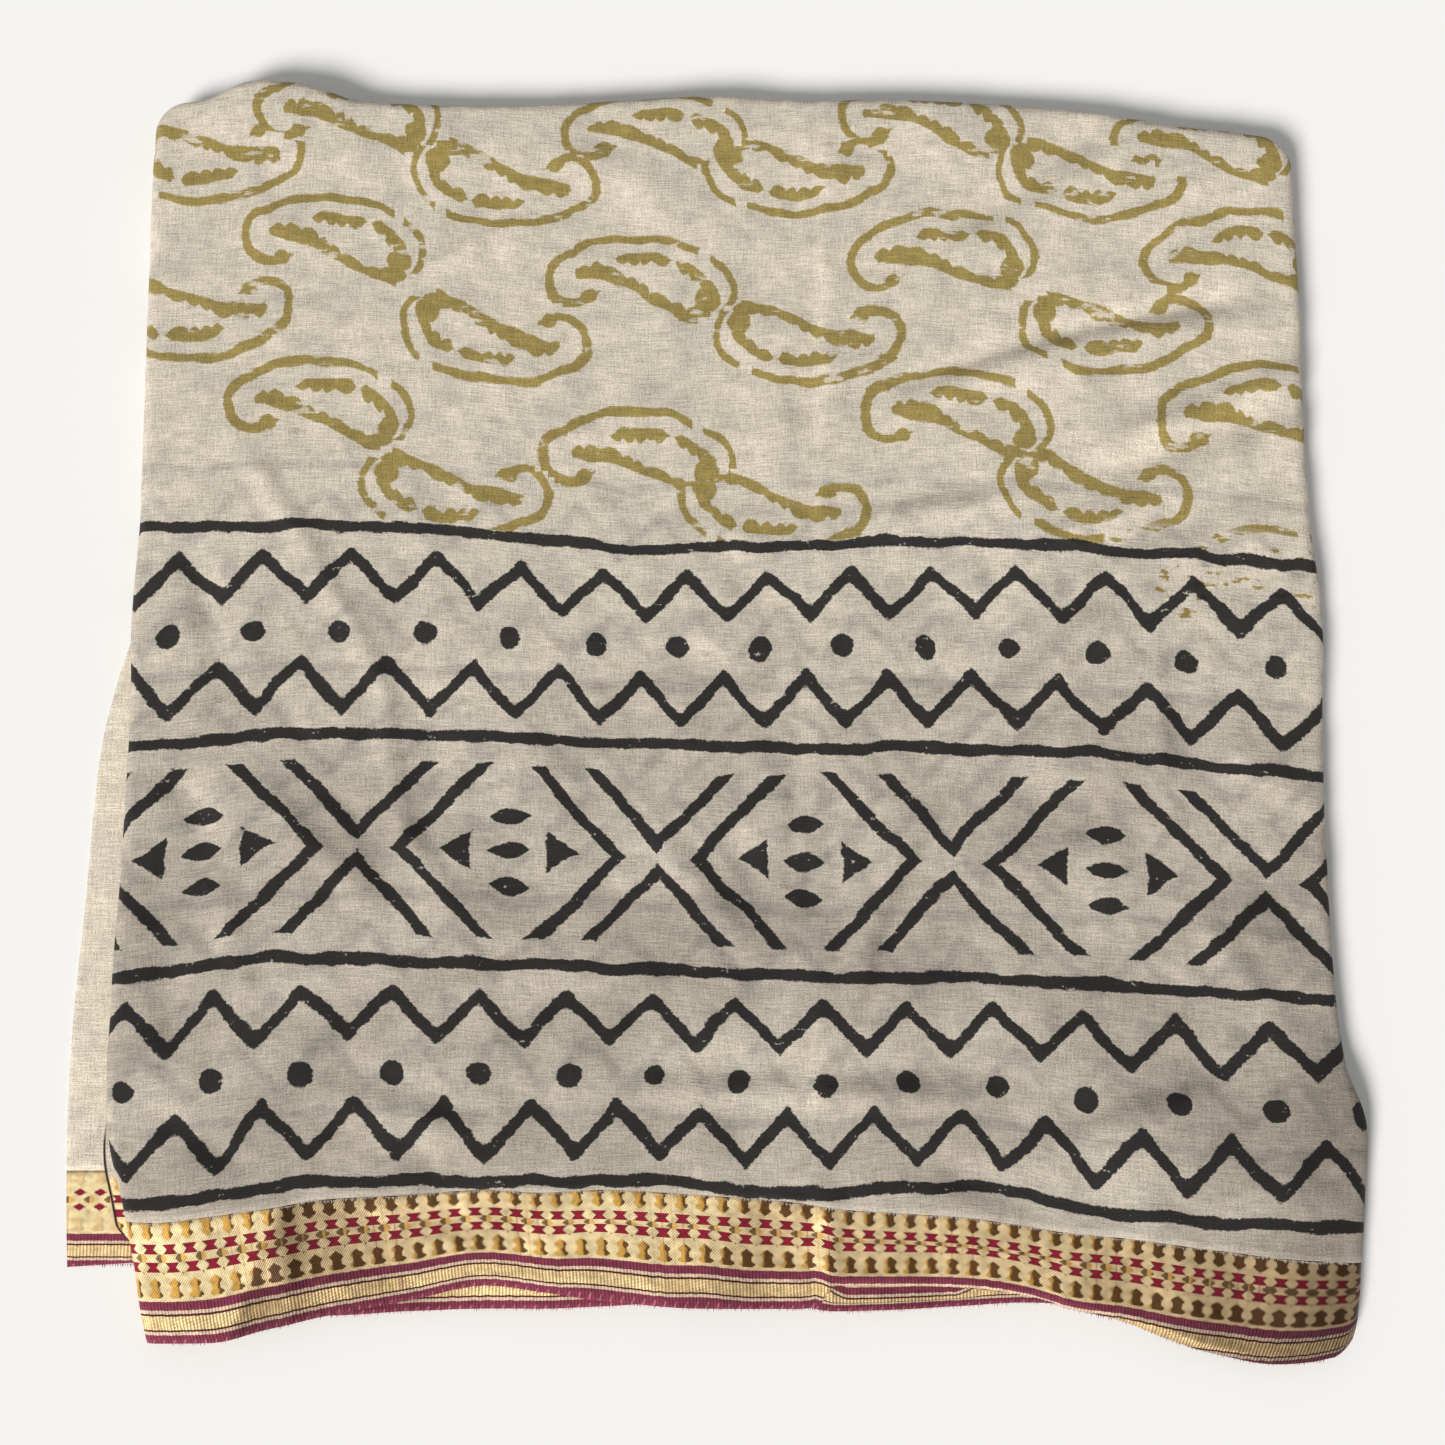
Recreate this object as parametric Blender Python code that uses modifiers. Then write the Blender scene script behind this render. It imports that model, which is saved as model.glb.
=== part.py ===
"""A tube skirt of sheer printed cotton, folded into a flat packet that lies on the ground, border to the front.

The skirt was folded side to side and then in half, so its layers lie on each other. The top layer turns round
the left, far and right folds, and the border of the hem shows in steps along the front.

Axes: +X to the packet's right, +Y away from the hem, +Z up. Sizes are in millimetres until a mesh is made, and
the origin is on the ground, under the middle of the packet's box. A place on the cloth is given by `across`,
from the left fold to the right one, and `along`, from the hem to the far fold, as if the packet were a plain
rectangle. The edge tables then pull that rectangle into the outline that the real folds have.
"""

import math
from typing import NamedTuple

import bmesh
import bpy

MM = 0.001

# Cloth
CLOTH = 1.1  # wall of a layer that shows
GAP = 0.3  # between neighbouring pieces
HALF_GAP = GAP / 2

# Plain rectangle of the packet
HALF_WIDTH = 225.5
BORDER_DEPTH = 42.0  # hem to the top of the woven border
LENGTH = 465.0  # hem to the far fold
CORNER = 12.0  # plan radius of the far corners

# Heights of the stack above the ground, lowest layer first
UNDER_TOP = CLOTH
THIRD_TOP = UNDER_TOP + GAP + CLOTH
LIP_BOTTOM = THIRD_TOP + GAP
TONGUE_BOTTOM = LIP_BOTTOM + CLOTH + GAP
STEP_TOP = 7.4  # hidden layers below the second border
CORE_TOP = STEP_TOP + GAP + CLOTH
TOP = CORE_TOP + GAP + CLOTH

# Folds
FOLD_REACH = 5.0  # how far in from the outline a fold starts to turn
LIP = 3.0  # cloth that runs back under a fold
SLOT_DEPTH = FOLD_REACH + LIP + 1.0  # room for that cloth between the hidden layers
TONGUE_ROOM = 0.8  # the hidden layers stop this much short of the wall inside the fold
LOWER_FOLD_INSET = 0.8
LOWER_FOLD_REACH = 1.6
LEFT_ROOM = 4.2  # the hidden layers stay this much further in where the lowest layer sticks out
LEFT_ROOM_Y = (56.0, 80.0)  # where that starts, front to back
CORE_HEM_INSET = 5.0

SECOND_SIDE_INSET = 6.5
SECOND_DEPTH = BORDER_DEPTH + 8.0
STEP = SECOND_DEPTH + 0.5  # where the hidden layers step up behind the second border
STEP_RAMP = 1.0

UNDER_SIDE_INSET = LOWER_FOLD_INSET + LEFT_ROOM - GAP
UNDER_BACK_Y = 32.0
UNDER_SEAM_Y = -179.0
THIRD_BACK_Y = -148.0
THIRD_FRONT_Y = -204.0

MIDDLE = (-0.6, -0.5)  # of the packet's box, x and y, before it is moved over the origin

# Where the hem, the border's seam and the far fold lie in the middle of the packet
HEM_LEVEL = -228.0
SEAM_LEVEL = -192.0
FAR_LEVEL = 238.0

# Steps of the meshes
COLUMN_STEP = 22.0
CREASE_STEP = 4.0
CREASE_BAND = (20.0, 52.0)
ROW_STEP = 22.0
FOLD_STEPS = 6
CORNER_STEPS = 4


class Side(NamedTuple):
    """Outline of the two side folds."""

    y: float
    left: float
    right: float


class Reach(NamedTuple):
    """Front and back of the layers: the top layer's hem, its border seam, the second hem and the far fold."""

    x: float
    hem: float
    seam: float
    second_hem: float
    far: float


class Under(NamedTuple):
    """Left edge of the lowest layer."""

    y: float
    left: float


class Rise(NamedTuple):
    """How much thicker the packet is than its plain stack."""

    y: float
    rise: float


class Ridge(NamedTuple):
    """A soft fold pressed into the top, from its middle: half length and half width, turned from +X."""

    x: float
    y: float
    half_length: float
    half_width: float
    turn: float
    height: float


SIDES = (
    Side(246, -222.0, 228.0),
    Side(200, -222.8, 228.4),
    Side(150, -222.2, 228.7),
    Side(100, -221.6, 228.0),
    Side(62, -221.3, 228.8),
    Side(27, -222.5, 231.6),
    Side(-8, -221.1, 229.8),
    Side(-60, -221.5, 228.3),
    Side(-110, -222.9, 228.8),
    Side(-140, -223.2, 231.6),
    Side(-164, -221.9, 238.4),
    Side(-190, -215.6, 236.4),
    Side(-215, -209.8, 233.6),
    Side(-232, -206.2, 231.4),
    Side(-246, -202.0, 226.0),
)

REACHES = (
    Reach(-226, -237.0, -196.0, -210.0, 236.0),
    Reach(-205, -239.3, -197.0, -216.0, 237.5),
    Reach(-183, -239.0, -194.7, -226.0, 246.0),
    Reach(-162, -234.5, -192.0, -229.0, 244.0),
    Reach(-141, -230.0, -188.7, -229.8, 237.6),
    Reach(-109, -224.4, -187.0, -228.3, 236.2),
    Reach(-81, -219.2, -185.4, -227.4, 235.7),
    Reach(-62, -221.3, -186.3, -227.3, 236.8),
    Reach(-41, -224.4, -185.3, -226.5, 237.8),
    Reach(-4, -227.2, -187.2, -225.0, 239.6),
    Reach(30, -227.4, -189.9, -225.6, 238.4),
    Reach(37, -226.4, -190.9, -227.6, 237.7),
    Reach(44, -219.6, -192.1, -228.2, 237.9),
    Reach(67, -219.8, -193.7, -227.6, 238.3),
    Reach(90, -220.6, -195.2, -226.4, 237.6),
    Reach(110, -222.8, -197.8, -225.2, 236.7),
    Reach(128, -227.2, -200.6, -225.6, 235.4),
    Reach(146, -231.4, -202.2, -229.0, 233.4),
    Reach(164, -237.7, -204.4, -234.0, 230.6),
    Reach(182, -242.8, -206.7, -238.0, 227.2),
    Reach(206, -246.5, -209.4, -240.0, 224.4),
    Reach(232, -244.0, -211.0, -238.0, 220.8),
)

UNDER_EDGE = (
    Under(32, -219.5),
    Under(16, -225.3),
    Under(4, -228.5),
    Under(-18, -233.0),
    Under(-44, -235.0),
    Under(-76, -236.2),
    Under(-110, -237.8),
    Under(-139, -238.8),
    Under(-164, -238.4),
    Under(-190, -237.4),
    Under(-213, -235.7),
)
UNDER_HEM_Y = (-213.3, -211.4)  # at the left edge and at the fold

THICKNESS = (
    Rise(246, 2.4),
    Rise(225, 2.6),
    Rise(180, 1.7),
    Rise(60, 1.1),
    Rise(-100, 0.6),
    Rise(-165, -0.4),
    Rise(-200, -1.7),
    Rise(-246, -2.5),
)

# The centre crease runs from the far fold to the tuck in the hem
CREASE_X = (36.4, 43.5)  # at the hem and at the far fold
CREASE_HEIGHT = 0.9
CREASE_HALF_WIDTH = 4.5

SOFT_FOLDS = (
    Ridge(-178, 238, 24, 17, 0, 2.6),
    Ridge(-98, 168, 34, 9, 55, 1.1),
    Ridge(-60, 40, 95, 22, 12, 0.6),
    Ridge(128, -20, 85, 20, -10, 0.7),
    Ridge(-165, -60, 60, 20, 75, 0.6),
    Ridge(150, 130, 70, 24, 62, 0.6),
    Ridge(-20, -120, 110, 18, 3, 0.5),
    Ridge(-166, -203, 40, 22, 58, 0.7),
    Ridge(206, -205, 40, 22, 80, 0.7),
)

COTTON = (0.60, 0.54, 0.44)
COTTON_WRONG_SIDE = (0.66, 0.60, 0.50)
BORDER_GOLD = (0.62, 0.46, 0.20)


def through(rows, at, column):
    """Value of a table's column at a place, on a smooth curve through its rows."""
    keys = [row[0] for row in rows]
    values = [getattr(row, column) for row in rows]
    if keys[0] > keys[-1]:
        keys.reverse()
        values.reverse()
    at = min(max(at, keys[0]), keys[-1])
    i = next(n for n in range(len(keys) - 1) if at <= keys[n + 1])
    slopes = [(values[n + 1] - values[n]) / (keys[n + 1] - keys[n]) for n in range(len(keys) - 1)]

    def tangent(n):
        before = slopes[max(n - 1, 0)]
        after = slopes[min(n, len(slopes) - 1)]
        return 0.0 if before * after <= 0 else 2 * before * after / (before + after)

    span = keys[i + 1] - keys[i]
    f = (at - keys[i]) / span
    start = (1 + 2 * f) * (1 - f) ** 2 * values[i] + f * (1 - f) ** 2 * span * tangent(i)
    end = f * f * (3 - 2 * f) * values[i + 1] + f * f * (f - 1) * span * tangent(i + 1)
    return start + end


def blend(low, high, at):
    """0 below low, 1 above high, with soft ends."""
    f = min(max((at - low) / (high - low), 0.0), 1.0)
    return f * f * (3 - 2 * f)


def x_at(across, y):
    """Side place on the real outline."""
    left, right = through(SIDES, y, "left"), through(SIDES, y, "right")
    return left + (right - left) * (across + HALF_WIDTH) / (2 * HALF_WIDTH)


def y_at(across, along):
    """Lengthwise place on the real outline, the border stretched between the hem and its seam."""
    seam = through(REACHES, x_at(across, SEAM_LEVEL), "seam")
    if along < BORDER_DEPTH:
        hem = through(REACHES, x_at(across, HEM_LEVEL), "hem")
        return hem + (seam - hem) * along / BORDER_DEPTH
    far = through(REACHES, x_at(across, FAR_LEVEL), "far")
    return seam + (far - seam) * (along - BORDER_DEPTH) / (LENGTH - BORDER_DEPTH)


def rise_at(x, y):
    """Extra height of the top surface: the packet's thickness, the centre crease and the soft folds."""
    rise = through(THICKNESS, y, "rise")
    far = blend(-246, 246, y)
    crease = CREASE_X[0] + (CREASE_X[1] - CREASE_X[0]) * far
    rise += CREASE_HEIGHT * math.exp(-(((x - crease) / CREASE_HALF_WIDTH) ** 2))
    for fold in SOFT_FOLDS:
        turn = math.radians(fold.turn)
        dx, dy = x - fold.x, y - fold.y
        u = (dx * math.cos(turn) + dy * math.sin(turn)) / fold.half_length
        v = (dy * math.cos(turn) - dx * math.sin(turn)) / fold.half_width
        rise += fold.height * math.exp(-(u * u + v * v))
    return rise


def in_metres(x, y, z):
    """A point in metres, over the origin."""
    return (x - MIDDLE[0]) * MM, (y - MIDDLE[1]) * MM, z * MM


def settled(x, y, z):
    """A point in metres, with the hidden layers between the two walls of the top fold pressed or swollen."""
    share = min(max((z - TONGUE_BOTTOM) / (STEP_TOP - TONGUE_BOTTOM), 0.0), 1.0)
    return in_metres(x, y, z + share * rise_at(x, y))


def on_packet(across, along, z):
    y = y_at(across, along)
    return settled(x_at(across, y), y, z)


def columns():
    """Places across the packet between its corners, closer together at the centre crease."""
    inner = HALF_WIDTH - CORNER
    low, high = CREASE_BAND
    spans = ((-inner, low, COLUMN_STEP), (low, high, CREASE_STEP), (high, inner, COLUMN_STEP))
    return evenly(spans)


def border_rows():
    """Places along the border, from the inner rectangle of the hidden layers back to its seam."""
    return evenly(((CORE_HEM_INSET + CORNER, BORDER_DEPTH - HALF_GAP, BORDER_DEPTH / 4),))


def body_rows():
    """Places from the border's seam back, with the step of the hidden layers among them."""
    seam = BORDER_DEPTH + HALF_GAP
    spans = ((seam, STEP, STEP), (STEP, STEP + STEP_RAMP, STEP), (STEP + STEP_RAMP, LENGTH - CORNER, ROW_STEP))
    return evenly(spans)


def evenly(spans):
    places = [spans[0][0]]
    for start, end, step in spans:
        count = max(1, round((end - start) / step))
        places += [start + (end - start) * n / count for n in range(1, count + 1)]
    return places


def fold_profile(shrink=0.0, room=0.0):
    """Section of the top fold as (inset from the outline, height), from its top round to its underside."""
    middle, half = (TOP + LIP_BOTTOM) / 2, (TOP - LIP_BOTTOM) / 2 - shrink
    reach = FOLD_REACH - shrink - room
    turns = [math.pi * (0.5 - n / FOLD_STEPS) for n in range(FOLD_STEPS + 1)]
    return [(FOLD_REACH - reach * math.cos(turn), middle + half * math.sin(turn)) for turn in turns]


def core_profile():
    """Section of the hidden layers: a tongue inside the top fold, a slot for its lip, and a lower fold."""
    lower_half = THIRD_TOP / 2
    turns = [math.pi * (0.5 - n / 4) for n in range(5)]
    back = LOWER_FOLD_INSET + LOWER_FOLD_REACH
    lower = [(back - LOWER_FOLD_REACH * math.cos(turn), lower_half + lower_half * math.sin(turn)) for turn in turns]
    slot = [(SLOT_DEPTH, TONGUE_BOTTOM), (SLOT_DEPTH, THIRD_TOP)]
    return fold_profile(CLOTH + GAP, TONGUE_ROOM) + slot + lower


def stations(across_places, along_places, closed):
    """Places round the inner rectangle, clockwise from the front left: its point, and the way out from it."""
    left, right = across_places[0], across_places[-1]
    front, back = along_places[0], along_places[-1]

    def corner(across, along, start):
        turns = [math.radians(start - 90 * n / CORNER_STEPS) for n in range(1, CORNER_STEPS)]
        return [(across, along, math.cos(turn), math.sin(turn)) for turn in turns]

    ring = [(left, along, -1.0, 0.0) for along in along_places]
    ring += corner(left, back, 180)
    ring += [(across, back, 0.0, 1.0) for across in across_places]
    ring += corner(right, back, 90)
    ring += [(right, along, 1.0, 0.0) for along in reversed(along_places)]
    if closed:
        ring += corner(right, front, 0)
        ring += [(across, front, 0.0, -1.0) for across in reversed(across_places)]
        ring += corner(left, front, -90)
    return ring


def wrapped(across_places, along_places, profile, closed, place):
    """A sheet over the inner rectangle that goes on round its sides by a section swept round the outline.

    place(across, along, inset, z) gives each point in metres. A closed sheet gets a flat face below."""
    bm = bmesh.new()
    top = profile[0][1]
    grid = {}
    for across in across_places:
        for along in along_places:
            grid[across, along] = bm.verts.new(place(across, along, CORNER, top))
    for a, b in zip(across_places, across_places[1:]):
        for c, d in zip(along_places, along_places[1:]):
            bm.faces.new((grid[a, c], grid[b, c], grid[b, d], grid[a, d]))
    ring = stations(across_places, along_places, closed)
    loops = [[grid[across, along] for across, along, _, _ in ring]]
    for inset, z in profile:
        out = CORNER - inset
        loops.append([bm.verts.new(place(s + out * ds, t + out * dt, inset, z)) for s, t, ds, dt in ring])
    count = len(ring)
    pairs = [(n, (n + 1) % count) for n in range(count if closed else count - 1)]
    for inner, outer in zip(loops, loops[1:]):
        for n, m in pairs:
            corners = [inner[n], inner[m], outer[m], outer[n]]
            if inner[n] is inner[m]:
                corners.pop(0)
            bm.faces.new(corners)
    if closed:
        bm.faces.new(loops[-1])
    return bm


def patch(across_places, along_places, place):
    """A plain grid of points in metres, place(across, along)."""
    bm = bmesh.new()
    grid = [[bm.verts.new(place(across, along)) for along in along_places] for across in across_places]
    for one, two in zip(grid, grid[1:]):
        for n in range(len(along_places) - 1):
            bm.faces.new((one[n], two[n], two[n + 1], one[n + 1]))
    return bm


def finish(bm, name, colour, roughness, collection, wall=CLOTH):
    """Makes the object, its faces out, and gives an open sheet its wall inwards."""
    bmesh.ops.recalc_face_normals(bm, faces=bm.faces)
    highest = max(bm.faces, key=lambda face: face.calc_center_median().z)
    if highest.normal.z < 0:
        bmesh.ops.reverse_faces(bm, faces=bm.faces)
    mesh = bpy.data.meshes.new(name)
    bm.to_mesh(mesh)
    bm.free()
    mesh.shade_smooth()
    material = bpy.data.materials.new(name)
    material.use_nodes = True
    shader = material.node_tree.nodes["Principled BSDF"]
    shader.inputs["Base Color"].default_value = (*colour, 1.0)
    shader.inputs["Roughness"].default_value = roughness
    mesh.materials.append(material)
    piece = bpy.data.objects.new(name, mesh)
    collection.objects.link(piece)
    if wall:
        shell = piece.modifiers.new("wall", "SOLIDIFY")
        shell.thickness = wall * MM
        shell.offset = -1.0
        shell.use_even_offset = True
    return piece


def front_panel(collection):
    """The printed top layer, from the border's seam back, round the side folds and the far fold."""
    lip = (FOLD_REACH + LIP, LIP_BOTTOM)
    bm = wrapped(columns(), body_rows(), fold_profile() + [lip], False, lambda s, t, inset, z: on_packet(s, t, z))
    finish(bm, "front_panel", COTTON, 0.9, collection)


def front_border(collection):
    """The woven border of the top layer, folded round at both ends like the panel that it belongs to."""
    left = [(FOLD_REACH + LIP, LIP_BOTTOM)] + fold_profile()[::-1]
    section = [(inset - HALF_WIDTH, z) for inset, z in left]
    section += [(across, TOP) for across in columns()]
    section += [(HALF_WIDTH - inset, z) for inset, z in reversed(left)]
    bm = patch(section, [0.0, CORE_HEM_INSET, *border_rows()], lambda point, along: on_packet(point[0], along, point[1]))
    finish(bm, "front_border", BORDER_GOLD, 0.55, collection)


def second_border(collection):
    """The border of the next layer down, which shows below the first where that is turned up."""
    inner = HALF_WIDTH - SECOND_SIDE_INSET
    places = [-inner, *columns()[1:-1], inner]

    def place(across, share):
        hem = through(REACHES, x_at(across, HEM_LEVEL), "second_hem")
        seam = through(REACHES, x_at(across, SEAM_LEVEL), "seam")
        y = hem + (seam + SECOND_DEPTH - BORDER_DEPTH - hem) * share
        return settled(x_at(across, y), y, CORE_TOP)

    finish(patch(places, [n / 4 for n in range(5)], place), "second_border", BORDER_GOLD, 0.55, collection)


def third_border(collection):
    """The end of a lower layer's border, which comes out from under the left fold."""
    reach = 5.0

    def place(out, y):
        bulge = reach * blend(THIRD_BACK_Y, THIRD_BACK_Y - 34, y) if y > THIRD_BACK_Y - 34 else reach
        bulge *= blend(THIRD_FRONT_Y - 3, THIRD_FRONT_Y + 6, y)
        inset = -bulge if out else UNDER_SIDE_INSET
        return settled(through(SIDES, y, "left") + inset, y, THIRD_TOP)

    rows = [THIRD_FRONT_Y + (THIRD_BACK_Y - THIRD_FRONT_Y) * n / 12 for n in range(13)]
    finish(patch((1, 0), rows, place), "third_border", BORDER_GOLD, 0.55, collection)


def lowest_layer(name, front, back, colour, roughness, collection):
    """A stretch of the lowest layer, flat on the ground, from its own edge to just under the left fold."""
    count = max(3, round((back - front) / 12))

    def place(side, share):
        hem = UNDER_HEM_Y[0] + (UNDER_HEM_Y[1] - UNDER_HEM_Y[0]) * side
        y = back + (max(front, hem) - back) * (1 - share)
        edge = through(UNDER_EDGE, y, "left")
        fold = through(SIDES, y, "left") + UNDER_SIDE_INSET
        return in_metres(edge + (fold - edge) * side, y, UNDER_TOP)

    bm = patch([n / 3 for n in range(4)], [n / count for n in range(count + 1)], place)
    finish(bm, name, colour, roughness, collection)


def folded_core(collection):
    """All the hidden layers as one solid: flat below, a step at the second border, folds round its edges."""

    def place(across, along, inset, z):
        z = min(z, STEP_TOP + (CORE_TOP - STEP_TOP) * min(max((along - STEP) / STEP_RAMP, 0.0), 1.0))
        y = y_at(across, along)
        if z <= THIRD_TOP and inset < SLOT_DEPTH and across < -HALF_WIDTH + CORNER:
            out = min(1.0, (-HALF_WIDTH + CORNER - across) / (CORNER - SLOT_DEPTH))
            across += LEFT_ROOM * out * (1 - blend(*LEFT_ROOM_Y, y))
        return settled(x_at(across, y), y, z)

    bm = wrapped(columns(), border_rows() + body_rows()[1:], core_profile(), True, place)
    finish(bm, "folded_core", COTTON, 0.9, collection, wall=0.0)


def build():
    for piece in list(bpy.data.objects):
        bpy.data.objects.remove(piece, do_unlink=True)
    skirt = bpy.data.collections.new("folded tube skirt")
    bpy.context.scene.collection.children.link(skirt)
    front_panel(skirt)
    front_border(skirt)
    second_border(skirt)
    third_border(skirt)
    lowest_layer("under_panel", UNDER_SEAM_Y + HALF_GAP, UNDER_BACK_Y, COTTON_WRONG_SIDE, 0.9, skirt)
    lowest_layer("under_border", min(UNDER_HEM_Y), UNDER_SEAM_Y - HALF_GAP, BORDER_GOLD, 0.55, skirt)
    folded_core(skirt)


build()
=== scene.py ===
import math
from collections import namedtuple

import bpy
import numpy as np
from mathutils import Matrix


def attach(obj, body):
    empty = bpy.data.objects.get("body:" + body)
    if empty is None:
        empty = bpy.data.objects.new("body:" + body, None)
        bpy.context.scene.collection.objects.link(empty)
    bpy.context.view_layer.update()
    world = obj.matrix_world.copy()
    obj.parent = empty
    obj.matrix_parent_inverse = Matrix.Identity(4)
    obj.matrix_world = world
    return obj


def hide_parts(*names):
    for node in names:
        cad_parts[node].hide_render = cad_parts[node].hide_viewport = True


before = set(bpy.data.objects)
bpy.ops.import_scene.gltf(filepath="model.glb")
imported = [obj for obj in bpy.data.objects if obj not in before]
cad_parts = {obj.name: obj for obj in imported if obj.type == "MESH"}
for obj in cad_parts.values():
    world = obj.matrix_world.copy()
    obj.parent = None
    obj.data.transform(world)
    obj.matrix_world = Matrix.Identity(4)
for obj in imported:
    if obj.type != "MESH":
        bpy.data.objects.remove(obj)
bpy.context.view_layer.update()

# Lowest layer
# The packet lies on its last layer, wrong side up: plain cotton that sticks out at the left. It is one thin
# sheet of sheer hand-loomed cloth, cut off straight at its own edge, with the packet folded on top of it.
MM = 0.001
CLOTH = 1.1  # wall of a layer in the solids
SHEER = 0.45  # wall of the real cloth as it looks here
GAP = 0.3
MIDDLE = (-0.6, -0.5)  # of the packet's box, x and y, before it is moved over the origin
UNDER_TOP = CLOTH
UNDER_HEIGHT = 0.72  # of the lowest layer's upper face over the ground
UNDER_WAVE = 0.22  # height of the waves in its own edge
UNDER_SIDE_INSET = 4.7
UNDER_BACK_Y = 32
UNDER_SEAM_Y = -179
UNDER_HEM_Y = (-213.3, -211.4)  # at the left edge and at the fold
COTTON_WARM = (0.695, 0.622, 0.508, 1)
COTTON_COOL = (0.6, 0.541, 0.447, 1)
WRONG_SIDE_WARM = (0.8, 0.71, 0.57, 1)
WRONG_SIDE_COOL = (0.73, 0.66, 0.54, 1)
SHEEN_TINT = (1, 0.97, 0.9, 1)


def table(columns, *rows):
    """Rows of numbers, each named by its column."""
    row_type = namedtuple("Row", columns)
    return [row_type(*row) for row in rows]


# Outline of the two side folds
SIDES = table(
    "y left right",
    (246, -222, 228), (200, -222.8, 228.4), (150, -222.2, 228.7), (100, -221.6, 228), (62, -221.3, 228.8),
    (27, -222.5, 231.6), (-8, -221.1, 229.8), (-60, -221.5, 228.3), (-110, -222.9, 228.8),
    (-140, -223.2, 231.6), (-164, -221.9, 238.4), (-190, -215.6, 236.4), (-215, -209.8, 233.6),
    (-232, -206.2, 231.4), (-246, -202, 226),
)
# Left edge of the lowest layer
UNDER_EDGE = table(
    "y left",
    (32, -219.5), (16, -225.3), (4, -228.5), (-18, -233), (-44, -235), (-76, -236.2), (-110, -237.8),
    (-139, -238.8), (-164, -238.4), (-190, -237.4), (-213, -235.7),
)


def through(rows, at, column):
    """A table's column at many places, on the smooth curve through its rows."""
    rows = sorted(rows)
    keys = np.array([row[0] for row in rows], float)
    values = np.array([getattr(row, column) for row in rows], float)
    at = np.clip(at, keys[0], keys[-1])
    i = np.clip(np.searchsorted(keys, at) - 1, 0, len(keys) - 2)
    slopes = np.diff(values) / np.diff(keys)
    before, after = np.append(slopes[0], slopes), np.append(slopes, slopes[-1])
    turns = before * after <= 0
    tangents = np.where(turns, 0, 2 * before * after / np.where(turns, 1, before + after))
    span = keys[i + 1] - keys[i]
    f = (at - keys[i]) / span
    start = (1 + 2 * f) * (1 - f) ** 2 * values[i] + f * (1 - f) ** 2 * span * tangents[i]
    return start + f * f * (3 - 2 * f) * values[i + 1] + f * f * (f - 1) * span * tangents[i + 1]


def blend(low, high, at):
    """0 below low, 1 above high, with soft ends."""
    f = np.clip((at - low) / (high - low), 0, 1)
    return f * f * (3 - 2 * f)


def rows_of_quads(columns, rows):
    """Corner numbers of a grid's faces, column by column, facing up."""
    first = (np.arange(columns - 1)[:, None] * rows + np.arange(rows - 1)[None, :]).ravel()
    return np.stack((first, first + rows, first + rows + 1, first + 1), 1)


def final_frame(points):
    """Points given in millimetres, in metres and in their final place."""
    return (np.reshape(points, (-1, 3)) - (*MIDDLE, 0)) * MM


def in_scene(name, data):
    """An object in the scene, made of this mesh, lamp or camera."""
    thing = bpy.data.objects.new(name, data)
    bpy.context.scene.collection.objects.link(thing)
    return thing


def whole_numbers(items, name):
    """One whole number of each corner or face of a mesh."""
    values = np.zeros(len(items), int)
    items.foreach_get(name, values)
    return values


def cloth_piece(name, points, faces, places, material, wall=SHEER):
    """A sheet with its wall, from points in millimetres and their places on the flat cloth."""
    mesh = bpy.data.meshes.new(name)
    mesh.from_pydata(final_frame(points).tolist(), [], [list(face) for face in faces])
    corners = whole_numbers(mesh.loops, "vertex_index")
    mesh.uv_layers.new(name="cloth").data.foreach_set("uv", np.reshape(places, (-1, 2))[corners].ravel())
    mesh.shade_smooth()
    mesh.materials.append(material)
    piece = in_scene(name, mesh)
    if wall:
        shell = piece.modifiers.new("wall", "SOLIDIFY")
        shell.thickness = wall * MM
        shell.offset = -1
    return piece


def fill(node, values):
    """Sets a node's sockets to values, or links them to a dye or to another node's socket."""
    for name, value in values.items():
        given = getattr(value, "socket", value)
        if isinstance(given, bpy.types.NodeSocket):
            node.id_data.links.new(given, node.inputs[name])
        else:
            node.inputs[name].default_value = given


def new_node(tree, kind, settings, inputs):
    """Adds a node, its settings first, then the values or links of its sockets."""
    made = tree.nodes.new(kind)
    for name, value in settings.items():
        setattr(made, name, value)
    fill(made, inputs)
    return made


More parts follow.
